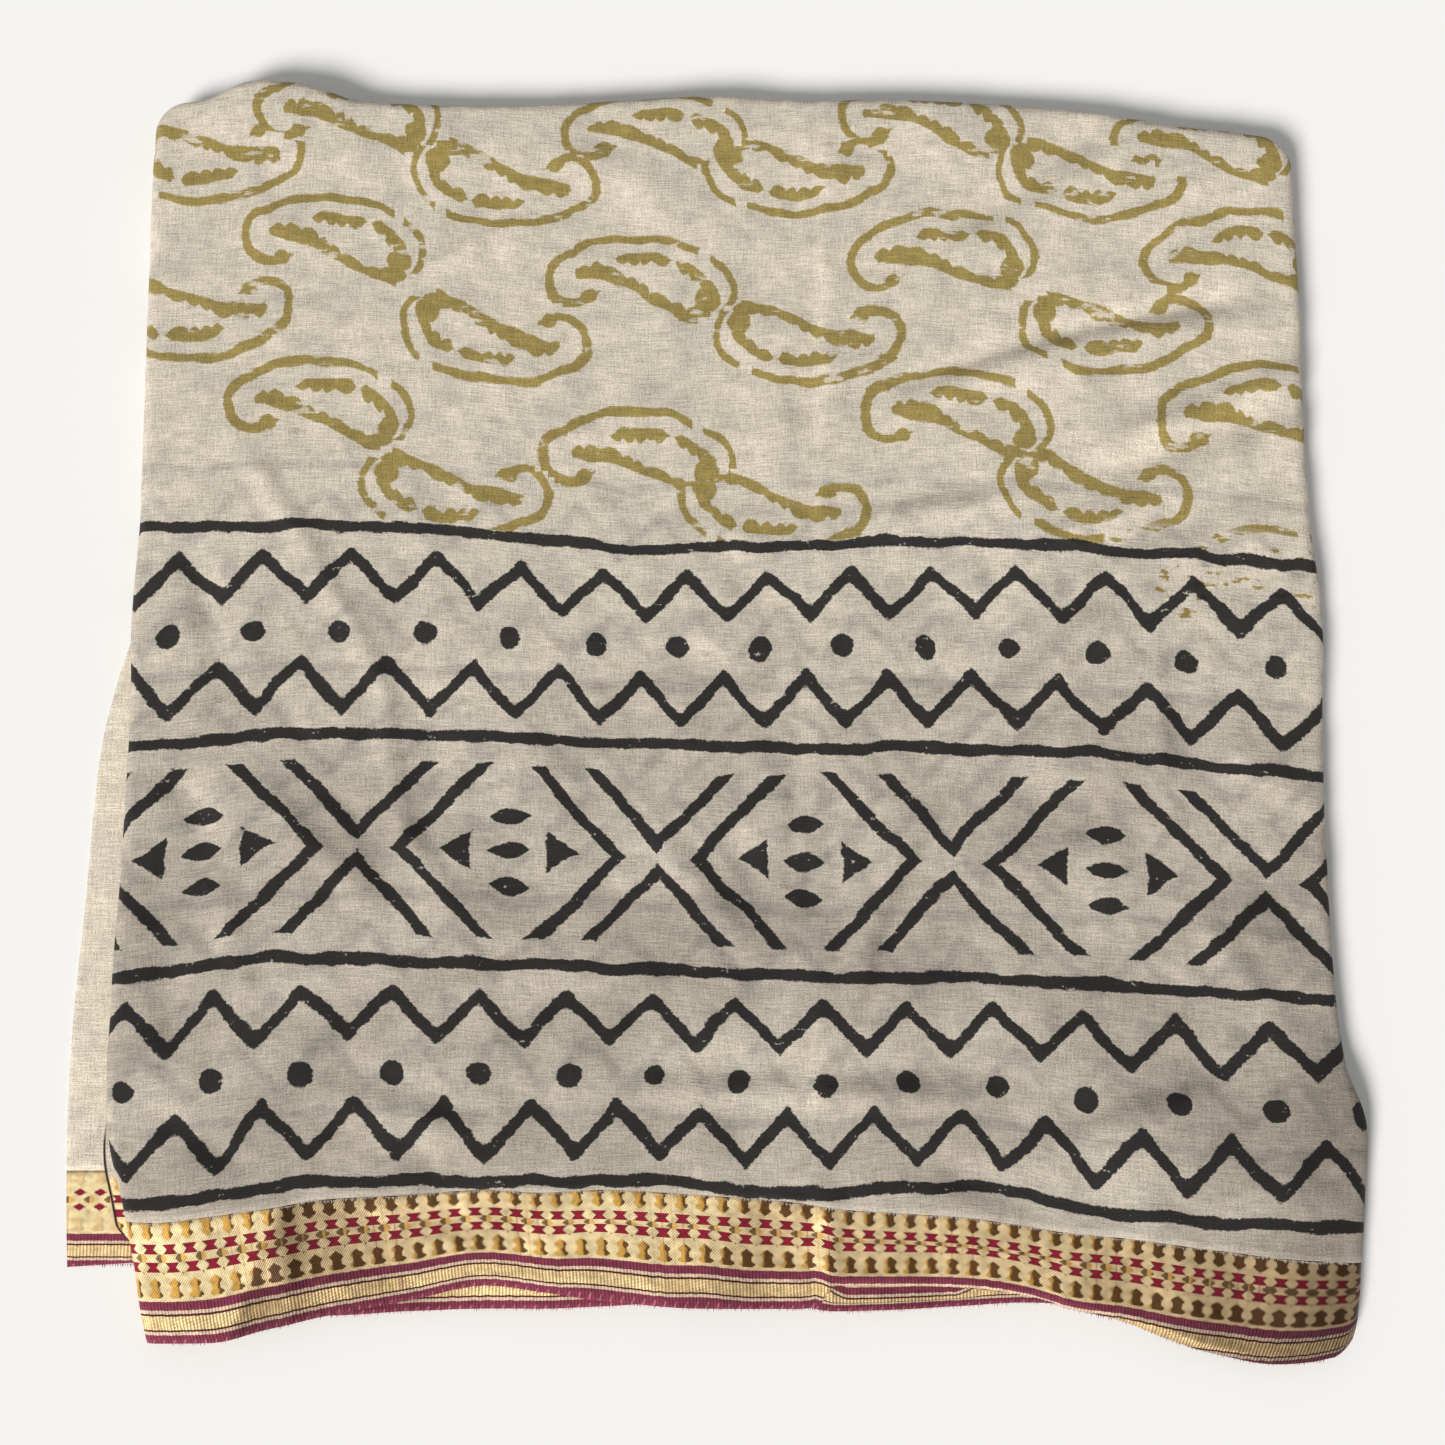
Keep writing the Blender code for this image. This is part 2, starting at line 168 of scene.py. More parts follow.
class Dye:
    """A number or colour in one material's nodes. Sums on it add Math nodes."""

    def __init__(self, tree, socket=None):
        self.tree = tree
        self.socket = socket

    def node(self, kind, settings, inputs, output=0):
        """One output of a new node of this kind."""
        return Dye(self.tree, new_node(self.tree, "ShaderNode" + kind, settings, inputs).outputs[output])

    def parts(self, kind="SeparateXYZ"):
        """The three numbers of a place, or of a colour."""
        return [Dye(self.tree, socket) for socket in self.node(kind, {}, {0: self}).socket.node.outputs]

    def ramp(self, stops):
        """Three numbers read off a ramp, whose stops are rows of a position and the numbers there."""
        ramp = self.node("ValToRGB", {}, {0: self})
        elements = ramp.socket.node.color_ramp.elements
        for n, (position, *numbers) in enumerate(stops):
            element = elements[n] if n < 2 else elements.new(1)
            element.position = position
            element.color = (*numbers, 1)
        return ramp.parts("SeparateColor")

    def maths(self, operation, *values):
        return self.node("Math", {"operation": operation}, dict(enumerate(values)))

    def __add__(self, other):
        return self.maths("ADD", self, other)

    __radd__ = __add__

    def __sub__(self, other):
        return self.maths("SUBTRACT", self, other)

    def __rsub__(self, other):
        return self.maths("SUBTRACT", other, self)

    def __mul__(self, other):
        return self.maths("MULTIPLY", self, other)

    __rmul__ = __mul__

    def __truediv__(self, other):
        return self.maths("DIVIDE", self, other)

    def __abs__(self):
        return self.maths("ABSOLUTE", self)

    def least(self, other):
        return self.maths("MINIMUM", self, other)

    def most(self, other):
        return self.maths("MAXIMUM", self, other)

    def from_middle(self, pitch, first):
        """Distance from the nearest of the places first, first + pitch, and so on."""
        return abs(self.maths("FRACT", (self - first) / pitch + 0.5) - 0.5) * pitch

    def rises(self, low, high):
        """0 below low, 1 above high, with soft ends; the other way round where low is above high."""
        inputs = {"Value": self, "From Min": low, "From Max": high}
        return self.node("MapRange", {"interpolation_type": "SMOOTHSTEP"}, inputs)

    def over(self, ground, colour):
        """The ground's colour where this mask is 0, and the other colour where it is 1."""
        return self.node("Mix", {"data_type": "RGBA"}, {0: self, 6: ground, 7: colour}, 2)

    def shaded(self, amount):
        """This colour times an amount, which may be a colour too."""
        settings = {"data_type": "RGBA", "blend_type": "MULTIPLY"}
        return self.node("Mix", settings, {0: 1, 6: self, 7: amount}, 2)

    def noise(self, u, v, detail=1, output=0):
        """Soft noise, a spot for each unit of u and v."""
        place = self.node("CombineXYZ", {}, {0: u, 1: v})
        inputs = {"Vector": place, "Scale": 1, "Detail": detail}
        return self.node("TexNoise", {"noise_dimensions": "2D"}, inputs, output)


def new_material(name):
    """A material, its shader's node, and the place on the flat cloth in millimetres."""
    material = bpy.data.materials.new(name)
    material.use_nodes = True
    u, v, _ = Dye(material.node_tree).node("UVMap", {"uv_map": "cloth"}, {}).parts()
    return material, material.node_tree.nodes["Principled BSDF"], u, v


def plain_weave(u, v, warm, cool):
    """Colour and height in millimetres of the sheer weave: uneven threads both ways, slubs and a mottle."""
    warp = u.noise(u * 1.4, v * 0.15)
    weft = u.noise(u * 0.12, v * 1.5)
    slubs = u.noise(u * 0.13, v * 1.9).rises(0.6, 0.78)
    crossings = u.noise(u * 1.7, v * 1.9, 2)
    mottle = u.noise(u / 24, v / 17, 3).rises(0.3, 0.7)
    patches = u.noise(u / 8, v / 5.5, 2)
    threads = warp * 0.4 + weft * 0.52 + crossings * 1.05 + patches * 0.36 + slubs * 0.06 - 0.19
    height = (warp + weft + crossings) * 0.11 + slubs * 0.05
    return mottle.over(warm, cool).shaded(threads), height


def set_cloth(shader, colour, height, **others):
    """Joins the colour and the height to a matt shader with a soft sheen."""
    bump = colour.node("Bump", {}, {"Strength": 1, "Distance": MM, "Height": height})
    matt = {"Base Color": colour, "Normal": bump, "Roughness": 0.88, "Specular IOR Level": 0.25}
    sheen = {"Sheen Weight": 0.1, "Sheen Roughness": 0.45, "Sheen Tint": SHEEN_TINT}
    fill(shader, {**matt, **sheen, **others})


def lowest_layer(name, front, back, step, material):
    """A stretch of the lowest layer, nearly flat, from its own edge to just under the left fold."""
    shares, sides = np.linspace(0, 1, round((back - front) / step) + 1), np.linspace(0, 1, 15)
    side, share = np.meshgrid(sides, shares, indexing="ij")
    hem = UNDER_HEM_Y[0] + (UNDER_HEM_Y[1] - UNDER_HEM_Y[0]) * side
    y = back + (np.maximum(front, hem) - back) * (1 - share)
    edge, fold = through(UNDER_EDGE, y, "left"), through(SIDES, y, "left") + UNDER_SIDE_INSET
    x = edge + (fold - edge) * side
    waves = UNDER_WAVE * np.sin(y / 9.5 + 1.3 * np.sin(y / 23)) * (1 - side) ** 2
    points = np.stack((x, y, UNDER_HEIGHT + waves + 0.2 * side), -1)
    return cloth_piece(name, points, rows_of_quads(*x.shape), points[..., :2], material)


unprinted, unprinted_shader, u, v = new_material("unprinted cotton")
set_cloth(unprinted_shader, *plain_weave(u, v, WRONG_SIDE_WARM, WRONG_SIDE_COOL))

under_panel = lowest_layer("under_panel_cloth", UNDER_SEAM_Y, UNDER_BACK_Y, 2.5, unprinted)
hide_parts("under_panel")
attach(under_panel, "root")

# Border of the lowest layer
# The same sheet ends in its woven hem border, here wrong side up. Gold thread floats over a crimson and
# amber ground in rows of small figures. Below them a ribbed gold band runs between ribbed crimson stripes.
BORDER_DEPTH = 43  # seam to selvedge, as woven
FIGURE_PITCH = 7.5
THREAD = (0.42, 0.5)  # one step of the woven figures, across and down
RIB_PITCH = 1.24
FLOAT_PITCH = 0.95  # between the slanted gold floats
FLOAT_SLANT = 0.8
SOFT = 0.12  # half the width of a figure's soft edge
GOLD_PALE = (1, 0.785, 0.44, 1)
GOLD_AMBER = (0.84, 0.47, 0.1, 1)
# Painted shade of the sunken gold figures; GOLD_AMBER is their lit colour
GOLD_PAINTED_SHADE = (0.15, 0.07, 0.018, 1)
CRIMSON = (0.3, 0.01, 0.03, 1)
CRIMSON_RIB = (0.25, 0.042, 0.078, 1)
CREAM = (0.84, 0.63, 0.46, 1)
DARK_LINE = (0.1, 0.014, 0.016, 1)
# Painted shade tint, laid on the gold where its painted light is low
PAINTED_SHADE_TINT = (1, 0.86, 0.82, 1)  # the gold is redder where it lies away from the light
LOOP_PINK = (0.62, 0.21, 0.23, 1)
LOOP_PITCH = 3.9  # between the weft's loops on the selvedge
LOOPS_FROM = (41.4, 41.9)  # depth at which they begin, with a soft start
RIBBED_FROM = 28.2
STRIPES = (
    (RIBBED_FROM, 31.4, CRIMSON_RIB),
    (31.4, 32.6, CREAM),
    (32.6, 33.4, DARK_LINE),
    (38.2, 38.9, DARK_LINE),
    (38.9, 40, CREAM),
    (40, 60, CRIMSON_RIB),
)

# Half widths of one figure at a depth below the seam: the vase, the amber floats between two, the crimson
CHART = table(
    "down vase amber crimson",
    (0, 2.6, 0, 0), (1.2, 2.5, 0, 0), (1.9, 1.5, 0, 0), (3.6, 1.4, 0, 0), (4.3, 2.2, 0, 0), (5, 2, 0, 0),
    (6.7, 0, 0, 0), (7.95, 0, 0, 0), (8.05, 0, 0, 2.75), (9.75, 0, 0, 1.3), (11.4, 0, 0, 2.75),
    (11.5, 0, 0.9, 0), (13, 0, 2.3, 0), (14.5, 0, 0.9, 0), (14.6, 0, 0, 2.75), (16.25, 0, 0, 1.3),
    (17.9, 0, 0, 2.75), (18, 0, 0.5, 0), (19, 0, 0, 0), (20, 0, 0, 0), (21.6, 2, 0, 0), (22.4, 2.2, 0, 0),
    (23.1, 1.4, 0, 0), (24.9, 1.5, 0, 0), (25.6, 2.5, 0, 0), (26.7, 2.6, 0, 0), (26.8, 0, 0, 0),
    (28.2, 0, 0, 0),
)
WIDEST = 4  # half width that counts as 1 on the chart's ramp
CRIMSON_ROWS = (13, 3.25)  # depth midway between the two crimson rows, and from there to each
LOZENGE = (2.3, 1.3)  # half width of a crimson lozenge on the wrong side, and its slope

# Painted light and shade of the gold along the border: its brightness where the cloth faces toward or away
# from the light
PAINTED_GOLD_LIGHT = table(
    "u bright",
    (-238, 0.8), (-232, 1), (-186, 1), (-170, 0.98), (-165, 0.44), (-152, 0.5), (-140, 0.6), (-112, 0.74),
    (-84, 0.78), (-58, 0.96), (-8, 0.92), (10, 0.72), (20, 0.68), (34, 0.82), (60, 0.76), (100, 0.76),
    (130, 0.76), (156, 0.68), (182, 0.52), (206, 0.36), (224, 0.26), (238, 0.24),
)
PAINTED_LIGHT_SLANT = 0.6  # how far its zones move to the left for each step down


def stepped(value, step):
    """The value at the middle of its thread."""
    return (value.maths("FLOOR", value / step) + 0.5) * step


def band(value, start, end, soft=SOFT):
    """1 between two places."""
    return value.rises(start - soft, start + soft) * value.rises(end + soft, end - soft)


def charted(down):
    """The chart's three half widths at a depth."""
    stops = [(pick.down / BORDER_DEPTH, *(width / WIDEST for width in pick[1:])) for pick in CHART]
    return [part * WIDEST for part in (down / BORDER_DEPTH).ramp(stops)]


def painted_light_of_gold(u, down):
    """Painted light and shade of the gold at a place, as a brightness; its zones slant a little."""
    start, width = PAINTED_GOLD_LIGHT[0].u, PAINTED_GOLD_LIGHT[-1].u - PAINTED_GOLD_LIGHT[0].u
    stops = [((lie.u - start) / width, *[lie.bright] * 3) for lie in PAINTED_GOLD_LIGHT]
    return ((u + down * PAINTED_LIGHT_SLANT - start) / width).ramp(stops)[0]


def woven_border(u, down, wrong_side=False):
    """Colour, metal and height of the woven border; down is the distance from its seam."""
    s, d = stepped(u, THREAD[0]), stepped(down, THREAD[1])
    vase_width, amber_width, crimson_width = charted(d)
    off = s.from_middle(FIGURE_PITCH, 0)
    between = FIGURE_PITCH / 2 - off
    painted_light_zones = painted_light_of_gold(u, down)
    # Painted shade: where the gold's painted light is low, its dark figures are drawn wider
    painted_shade_widening = 1.4 - painted_light_zones * 0.4
    vases = (vase_width * painted_shade_widening - off).rises(-SOFT, SOFT)
    amber = (amber_width * painted_shade_widening - between).rises(-SOFT, SOFT)
    if wrong_side:
        crimson_width = LOZENGE[0] - abs(abs(d - CRIMSON_ROWS[0]) - CRIMSON_ROWS[1]) * LOZENGE[1]
    crimson = (crimson_width - off).rises(-SOFT, SOFT)
    wear = u.noise(u / 3.4, down / 2.6, 2)
    float_lines = u.maths("SINE", (u + down * FLOAT_SLANT) * (2 * math.pi / FLOAT_PITCH)) * 0.5 + 0.5
    signed = u.maths("FRACT", s / FIGURE_PITCH + 0.5) - 0.5
    # Painted shade: each sunken figure is darkened on its right side, unevenly, and wholly where the gold's
    # painted light is low
    painted_lee_shade = (signed * 12 + (wear - 0.5) * 5 + (0.9 - painted_light_zones) * 13).rises(-0.8, 1)
    recess_and_painted_shade = painted_lee_shade.over(GOLD_AMBER, GOLD_PAINTED_SHADE)
    colour = (vases * (0.35 if wrong_side else 1)).over(GOLD_PALE, recess_and_painted_shade)
    colour = (amber * 0.9).over(colour, recess_and_painted_shade)
    # Painted shade: the gold is tinted redder where its painted light is low
    colour = (1 - painted_light_zones).over(colour, colour.shaded(PAINTED_SHADE_TINT))
    colour = crimson.over(colour, CRIMSON)
    # Painted shade: a thin dark line along the edges of each crimson figure
    outline = band(abs(crimson_width - off - 0.25), -1, 0.25, 0.08) * crimson_width.rises(1, 1.1)
    colour = (outline * 0.7).over(colour, DARK_LINE)
    ribbed = down.rises(RIBBED_FROM - 0.1, RIBBED_FROM + 0.1)
    ribs = u.maths("SINE", u * (2 * math.pi / RIB_PITCH) + wear * 2) * 0.5 + 0.5
    colour = (ribbed * (1 - ribs) * 0.5).over(colour, GOLD_AMBER)
    metal = 1 - crimson
    wavy = down + (u.noise(u / 2.6, down * 0, 0) - 0.5) * 0.5
    for start, end, stripe in STRIPES:
        mask = band(wavy, start, end)
        colour = mask.over(colour, stripe)
        metal = metal * (1 - mask)
    plain = (1 - ribbed) * (1 - crimson)
    loops = (u + down * 0.45).from_middle(LOOP_PITCH, 0).rises(0.5, 0.2) * down.rises(*LOOPS_FROM) * 0.6
    colour = loops.over(colour, LOOP_PINK)
    # The grain and wear of the gold thread, times its painted light and shade
    grain_and_painted_light = (0.5 + wear * 0.8) * (painted_light_zones + 0.09)
    grain_and_painted_light = grain_and_painted_light + ribbed * (ribs * 0.34 - 0.2) + plain * (float_lines * 0.5 - 0.26)
    raised = (1 - vases) * (1 - amber) * (1 - crimson * 0.6)
    height = raised * (1 - ribbed) * 0.3 + ribbed * ribs * 0.18 + float_lines * 0.05
    return colour.shaded(grain_and_painted_light), metal, height


def set_border(shader, colour, metal, height):
    """Gold thread shines as soft metal, the crimson cotton stays matt."""
    set_cloth(shader, colour, height, Metallic=metal * 0.35, Roughness=0.85 - metal * 0.4)


wrong_weave, wrong_shader, u, v = new_material("woven border, wrong side")
under_down = (UNDER_SEAM_Y - v) * (BORDER_DEPTH / (UNDER_SEAM_Y - UNDER_HEM_Y[0]))
set_border(wrong_shader, *woven_border(u, under_down, True))

under_border = lowest_layer("under_border_cloth", min(UNDER_HEM_Y), UNDER_SEAM_Y, 1.2, wrong_weave)
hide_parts("under_border")
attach(under_border, "root")

# Hidden layers
# The middle of the packet is all the layers that don't show, pressed together into one low cushion of cotton.
# Its edges are the folds and hems of single layers, one above the other, none quite in line with the next.
BORDER_ALONG = 42  # hem to seam on the plain packet
HALF_WIDTH = 225.5
LENGTH = 465
CORNER = 12
THIRD_TOP = UNDER_TOP + GAP + CLOTH
LIP_BOTTOM = THIRD_TOP + GAP
TONGUE_BOTTOM = LIP_BOTTOM + CLOTH + GAP
STEP_TOP = 7.4
CORE_TOP = STEP_TOP + GAP + CLOTH
TOP = CORE_TOP + GAP + CLOTH
FOLD_REACH = 5
LIP = 3
SLOT_DEPTH = FOLD_REACH + LIP + 1
TONGUE_ROOM = 0.8
LOWER_FOLD_INSET = 0.8
LEFT_ROOM = 4.2
LEFT_ROOM_Y = (56, 80)
CORE_HEM_INSET = 5
STEP = 50.5  # in from the hem, where the hidden layers rise to their full height
STEP_RAMP = 1
LEVELS = {"hem": -228, "second_hem": -228, "seam": -192, "far": 238}  # rough y of each edge
CREASE_X = (36.4, 43.5)  # centre crease, at the hem and at the far fold
CREASE_HEIGHT = 0.34
CREASE_HALF_WIDTHS = (1.7, 6)  # left and right of it
CORE_CELL = 5
LAYER_THICKNESS = 1.25  # of one folded layer at the edge
GROOVE_DEPTH = 0.55  # between two such layers
CORNER_STEPS = 8

# Front and back of the layers: the top layer's hem, its border seam, the second hem and the far fold
REACHES = table(
    "x hem seam second_hem far",
    (-226, -237, -196, -210, 236), (-205, -239.3, -197, -216, 237.5), (-183, -239, -194.7, -226, 246),
    (-162, -234.5, -192, -229, 244), (-141, -230, -188.7, -229.8, 237.6),
    (-109, -224.4, -187, -228.3, 236.2), (-81, -219.2, -185.4, -227.4, 235.7),
    (-62, -221.3, -186.3, -227.3, 236.8), (-41, -224.4, -185.3, -226.5, 237.8),
    (-4, -227.2, -187.2, -225, 239.6), (30, -227.4, -189.9, -225.6, 238.4),
    (37, -226.4, -190.9, -227.6, 237.7), (44, -219.6, -192.1, -228.2, 237.9),
    (67, -219.8, -193.7, -227.6, 238.3), (90, -220.6, -195.2, -226.4, 237.6),
    (110, -222.8, -197.8, -225.2, 236.7), (128, -227.2, -200.6, -225.6, 235.4),
    (146, -231.4, -202.2, -229, 233.4), (164, -237.7, -204.4, -234, 230.6),
    (182, -242.8, -206.7, -238, 227.2), (206, -246.5, -209.4, -240, 224.4),
    (225, -245, -210.7, -238.4, 221.6), (229.5, -242.4, -211, -236.5, 221), (232, -238, -211, -234, 220.8),
)
# How much thicker the packet is than its plain stack
THICKNESS = table(
    "y rise",
    (246, 2.4), (225, 2.6), (180, 1.7), (60, 1.1), (-100, 0.6), (-165, -0.4), (-200, -1.7), (-246, -2.5),
)
# Soft folds pressed into the packet, each from its middle, turned from +X
SOFT_FOLDS = table(
    "x y half_length half_width turn height",
    (-178, 238, 24, 17, 0, 2.6), (-98, 168, 34, 9, 55, 1.1), (-60, 40, 95, 22, 12, 0.6),
    (128, -20, 85, 20, -10, 0.7), (-165, -60, 60, 20, 75, 0.6), (150, 130, 70, 24, 62, 0.6),
    (-20, -120, 110, 18, 3, 0.5), (-166, -203, 40, 22, 58, 0.7), (206, -205, 40, 22, 80, 0.7),
)
# Creases in the top cloth, end to end, bowed to their left: ridges, and troughs where the height is below 0
CREASES = table(
    "x y end_x end_y bow half_width height",
    (-115, 165, -79, 186, 0, 3, 0.9), (-112, 171, -82, 189, 0, 3, -0.6), (164, 40, 90, -28, -1.5, 6, 3.2),
    (96, -20, 51, -111, -5, 6, 3.5), (57, -100, 37, -146, 1, 5, 2.5), (170, 33, 96, -35, -1.5, 4, -1.5),
    (103, -27, 59, -111, -5, 4, -1.6), (-188, 100, -143, 31, 2, 4.6, 1.6),
    (-148, 38, -121, -14, 3, 4.2, 1.9), (-124, -6, -113, -66, -2, 4, 2), (-107, -10, -105, -60, 0, 6, -1.4),
    (-116, -55, -93, -86, 0, 4, 1.6), (-187, -70, -170, -123, 0, 5, 1.8), (-28, -42, 18, -103, -3, 4, 1.5),
    (-2, -44, 22, -92, 2, 5, -1), (-30, -151, 108, -155, 1.5, 4.2, 1.5),
    (-30, -142, 108, -145, 1, 4.5, -1.1), (-48, -166, -16, -146, 1, 4, 1.5),
    (138, 88, 232, 127, 0, 5.5, 2.8), (142, 80, 232, 115, 0, 5, -2.1), (60, 116, 216, 155, 6, 4.5, -2.8),
    (66, 107, 220, 146, 6, 6, 1.9), (56, 62, 128, 74, 1, 5, 2), (50, 70, 110, 81, 1, 5, -1.5),
    (96, 182, 150, 226, 0, 5, -3.2), (104, 173, 176, 224, 0, 6, 2.5), (132, 46, 232, 92, -2, 6, -1.8),
    (128, 55, 228, 103, -2, 6, 1.5), (167.5, 22, 167, -46, 0, 3.6, 2), (-201, 56, -184, -3, 0, 6.5, -2.5),
    (-206, -30, -185, -63, 0, 6.5, -2.4), (-187, -60, -212, -92, 0, 6, -2.1),
    (-205, -95, -198, -133, 0, 6.5, -2.1), (-143, -38, -118, -77, 0, 3.6, -1.6),
    (-175, -34, -118, -92, 0, 4.6, 1.8), (36, 10, 40, 238, 0, 2.4, -0.5), (32, 70, 35.5, 162, 0, 4, -0.6),
    (26, -96, 35, 30, 0, 2.6, -0.6), (46, -100, 38, 24, 0, 3, -0.5), (-20, 120, -56, 96, 2, 5, 1.1),
    (-70, 128, -30, 138, -2, 6, -1), (-150, 226, -196, 150, 3, 6, 1.1), (-60, 214, -10, 190, 3, 7, 1.1),
    (-6, 62, 26, 20, 2, 5, -1), (176, -84, 214, -138, 2, 6, 1.8), (196, -60, 226, -110, 0, 6, -1.9),
    (186, -20, 226, -52, 2, 6, 1.6), (120, -172, 190, -150, 2, 6, 1.9), (120, -164, 186, -143, 2, 6, -1.5),
    (64, -172, 112, -186, -2, 6, -1.8), (-150, -150, -90, -170, 3, 6, 1.5),
    (-146, -141, -84, -160, 3, 6, -1.4), (-204, -160, -168, -178, 0, 5, -1.6),
    (-90, -120, -52, -100, 2, 5, 1.2), (-78, -130, -40, -112, 2, 5, -1.1), (-70, 10, 12, 22, 2, 6, 1.1),
    (-66, 1, 10, 12, 2, 6, -1), (72, 4, 130, 12, -2, 5, -1), (208, -128, 212, -240, 0, 13, 3.2),
    (-157, -190, -152, -242, 0, 5, 2.1), (-196, -194, -186, -242, 0, 10, 1),
    (-112, -186, -104, -236, 0, 24, -2), (-60, -184, -52, -232, 0, 12, 1.2),
    (17, -186, 22, -232, 0, 8, -1.5), (43, -186, 40, -232, 0, 4, 1.8), (80, -190, 76, -230, 0, 12, -1.5),
    (122, -196, 138, -238, 0, 12, 1.6), (172, -204, 168, -248, 0, 9, 1.1),
    (188, -206, 186, -250, 0, 9, -1.5),
)
CRUMPLE_HEIGHT = 0.34
CRUMPLE_WAVES = 54
CRUMPLE_SEED = 11


def x_at(across, y):
    """How far to the right a place on the plain packet comes, between the two side folds."""
    left, right = through(SIDES, y, "left"), through(SIDES, y, "right")
    return left + (right - left) * (across + HALF_WIDTH) / (2 * HALF_WIDTH)


def reach(across, column):
    """Front or back of the layers at a place across the packet."""
    return through(REACHES, x_at(across, LEVELS[column]), column)


def y_at(across, along):
    """How far back a place on the plain packet comes, between the hem and the far fold."""
    hem, seam, far = (reach(across, column) for column in ("hem", "seam", "far"))
    in_border = hem + (seam - hem) * along / BORDER_ALONG
    in_body = seam + (far - seam) * (along - BORDER_ALONG) / (LENGTH - BORDER_ALONG)
    return np.where(along < BORDER_ALONG, in_border, in_body)


def crumple(x, y):
    """The small uneven dents of cloth that has been handled, the same on each run."""
    dice = np.random.default_rng(CRUMPLE_SEED)
    soft, sharp = np.zeros_like(x), np.zeros_like(x)
    for n in range(CRUMPLE_WAVES):
        wave = dice.uniform(12, 50)
        turn, start = dice.uniform(0, math.pi), dice.uniform(0, 2 * math.pi)
        field = np.sin((x * math.cos(turn) + y * math.sin(turn)) * 2 * math.pi / wave + start) * wave / 30
        if n % 2:
            soft += field
        else:
            sharp += field
    share = 1 / math.sqrt(CRUMPLE_WAVES / 2)
    return CRUMPLE_HEIGHT * (soft * share + 0.8 - 1.3 * np.abs(sharp * share) ** 0.8)


def relief(x, y):
    """Extra height of the packet's top: its thickness, centre crease, soft folds, creases and dents."""
    crease = CREASE_X[0] + (CREASE_X[1] - CREASE_X[0]) * blend(-246, 246, y)
    crease_width = np.where(x < crease, *CREASE_HALF_WIDTHS)
    rise = through(THICKNESS, y, "rise") + CREASE_HEIGHT * np.exp(-(((x - crease) / crease_width) ** 2))
    for fold in SOFT_FOLDS:
        turn = math.radians(fold.turn)
        dx, dy = x - fold.x, y - fold.y
        u = (dx * math.cos(turn) + dy * math.sin(turn)) / fold.half_length
        v = (dy * math.cos(turn) - dx * math.sin(turn)) / fold.half_width
        rise = rise + fold.height * np.exp(-(u * u + v * v))
    for line in CREASES:
        run_x, run_y = line.end_x - line.x, line.end_y - line.y
        length = math.hypot(run_x, run_y)
        t = ((x - line.x) * run_x + (y - line.y) * run_y) / length**2
        off = ((y - line.y) * run_x - (x - line.x) * run_y) / length - line.bow * 4 * t * (1 - t)
        taper = blend(-0.12, 0.25, t) * blend(1.12, 0.75, t)
        rise = rise + line.height * taper * np.exp(-((off / line.half_width) ** 2))
    return rise + crumple(x, y)


def settled(x, y, z):
    """Points in millimetres, with the layers between the two walls of the top fold pressed or swollen."""
    share = np.clip((z - TONGUE_BOTTOM) / (STEP_TOP - TONGUE_BOTTOM), 0, 1)
    return np.stack((x, y, z + share * relief(x, y)), -1)


def evenly(*spans):
    """Places through one or more spans, each (start, end, step)."""
    places = [spans[0][0]]
    for start, end, step in spans:
        count = max(1, round((end - start) / step))
        places += [start + (end - start) * n / count for n in range(1, count + 1)]
    return np.array(places)


def stations(across_places, along_places, closed):
    """Places round the inner rectangle, clockwise from the front left, each with its way out."""
    right, back = len(across_places) - 1, len(along_places) - 1
    sides = (
        ([(0, j) for j in range(back + 1)], (-1, 0), 180),
        ([(i, back) for i in range(right + 1)], (0, 1), 90),
        ([(right, j) for j in range(back, -1, -1)], (1, 0), 0),
        ([(i, 0) for i in range(right, -1, -1)], (0, -1), -90),
    )
    ring = []
    for side, way, start in sides if closed else sides[:3]:
        ring += [(*place, *way) for place in side]
        turns = [math.radians(start - 90 * n / CORNER_STEPS) for n in range(1, CORNER_STEPS)]
        ring += [(*side[-1], math.cos(turn), math.sin(turn)) for turn in turns]
    return ring if closed else ring[:1 - CORNER_STEPS]


def wrapped(across_places, along_places, profile, closed):
    """A sheet over the inner rectangle that goes on round its sides by a section of (inset, height).

    Gives each point's place on the packet with its inset and height, its flat place, and the faces."""
    rows = len(along_places)
    across, along = np.meshgrid(across_places, along_places, indexing="ij")
    count = across.size
    flat = [np.stack((across.ravel(), along.ravel()), 1)]
    packet = [np.hstack((flat[0], np.full((count, 2), (CORNER, profile[0][1]))))]
    faces = [list(face) for face in rows_of_quads(len(across_places), rows)]
    ring = np.array(stations(across_places, along_places, closed))
    i, j, out = ring[:, 0].astype(int), ring[:, 1].astype(int), ring[:, 2:]
    start = np.stack((across_places[i], along_places[j]), 1)
    loop = i * rows + j
    unrolled = CORNER - profile[0][0]
    for n, (inset, z) in enumerate(profile):
        if n:
            unrolled += math.hypot(inset - profile[n - 1][0], z - profile[n - 1][1])
        packet.append(np.hstack((start + out * (CORNER - inset), np.full((len(ring), 2), (inset, z)))))
        flat.append(start + out * unrolled)
        outer = count + n * len(ring) + np.arange(len(ring))
        for a in range(len(ring) if closed else len(ring) - 1):
            b = (a + 1) % len(ring)
            corners = [loop[a], loop[b], outer[b], outer[a]]
            faces.append([int(c) for c in corners[int(loop[a] == loop[b]):]])
        loop = outer
    if closed:
        faces.append([int(c) for c in loop])
    return np.vstack(packet), np.vstack(flat), faces


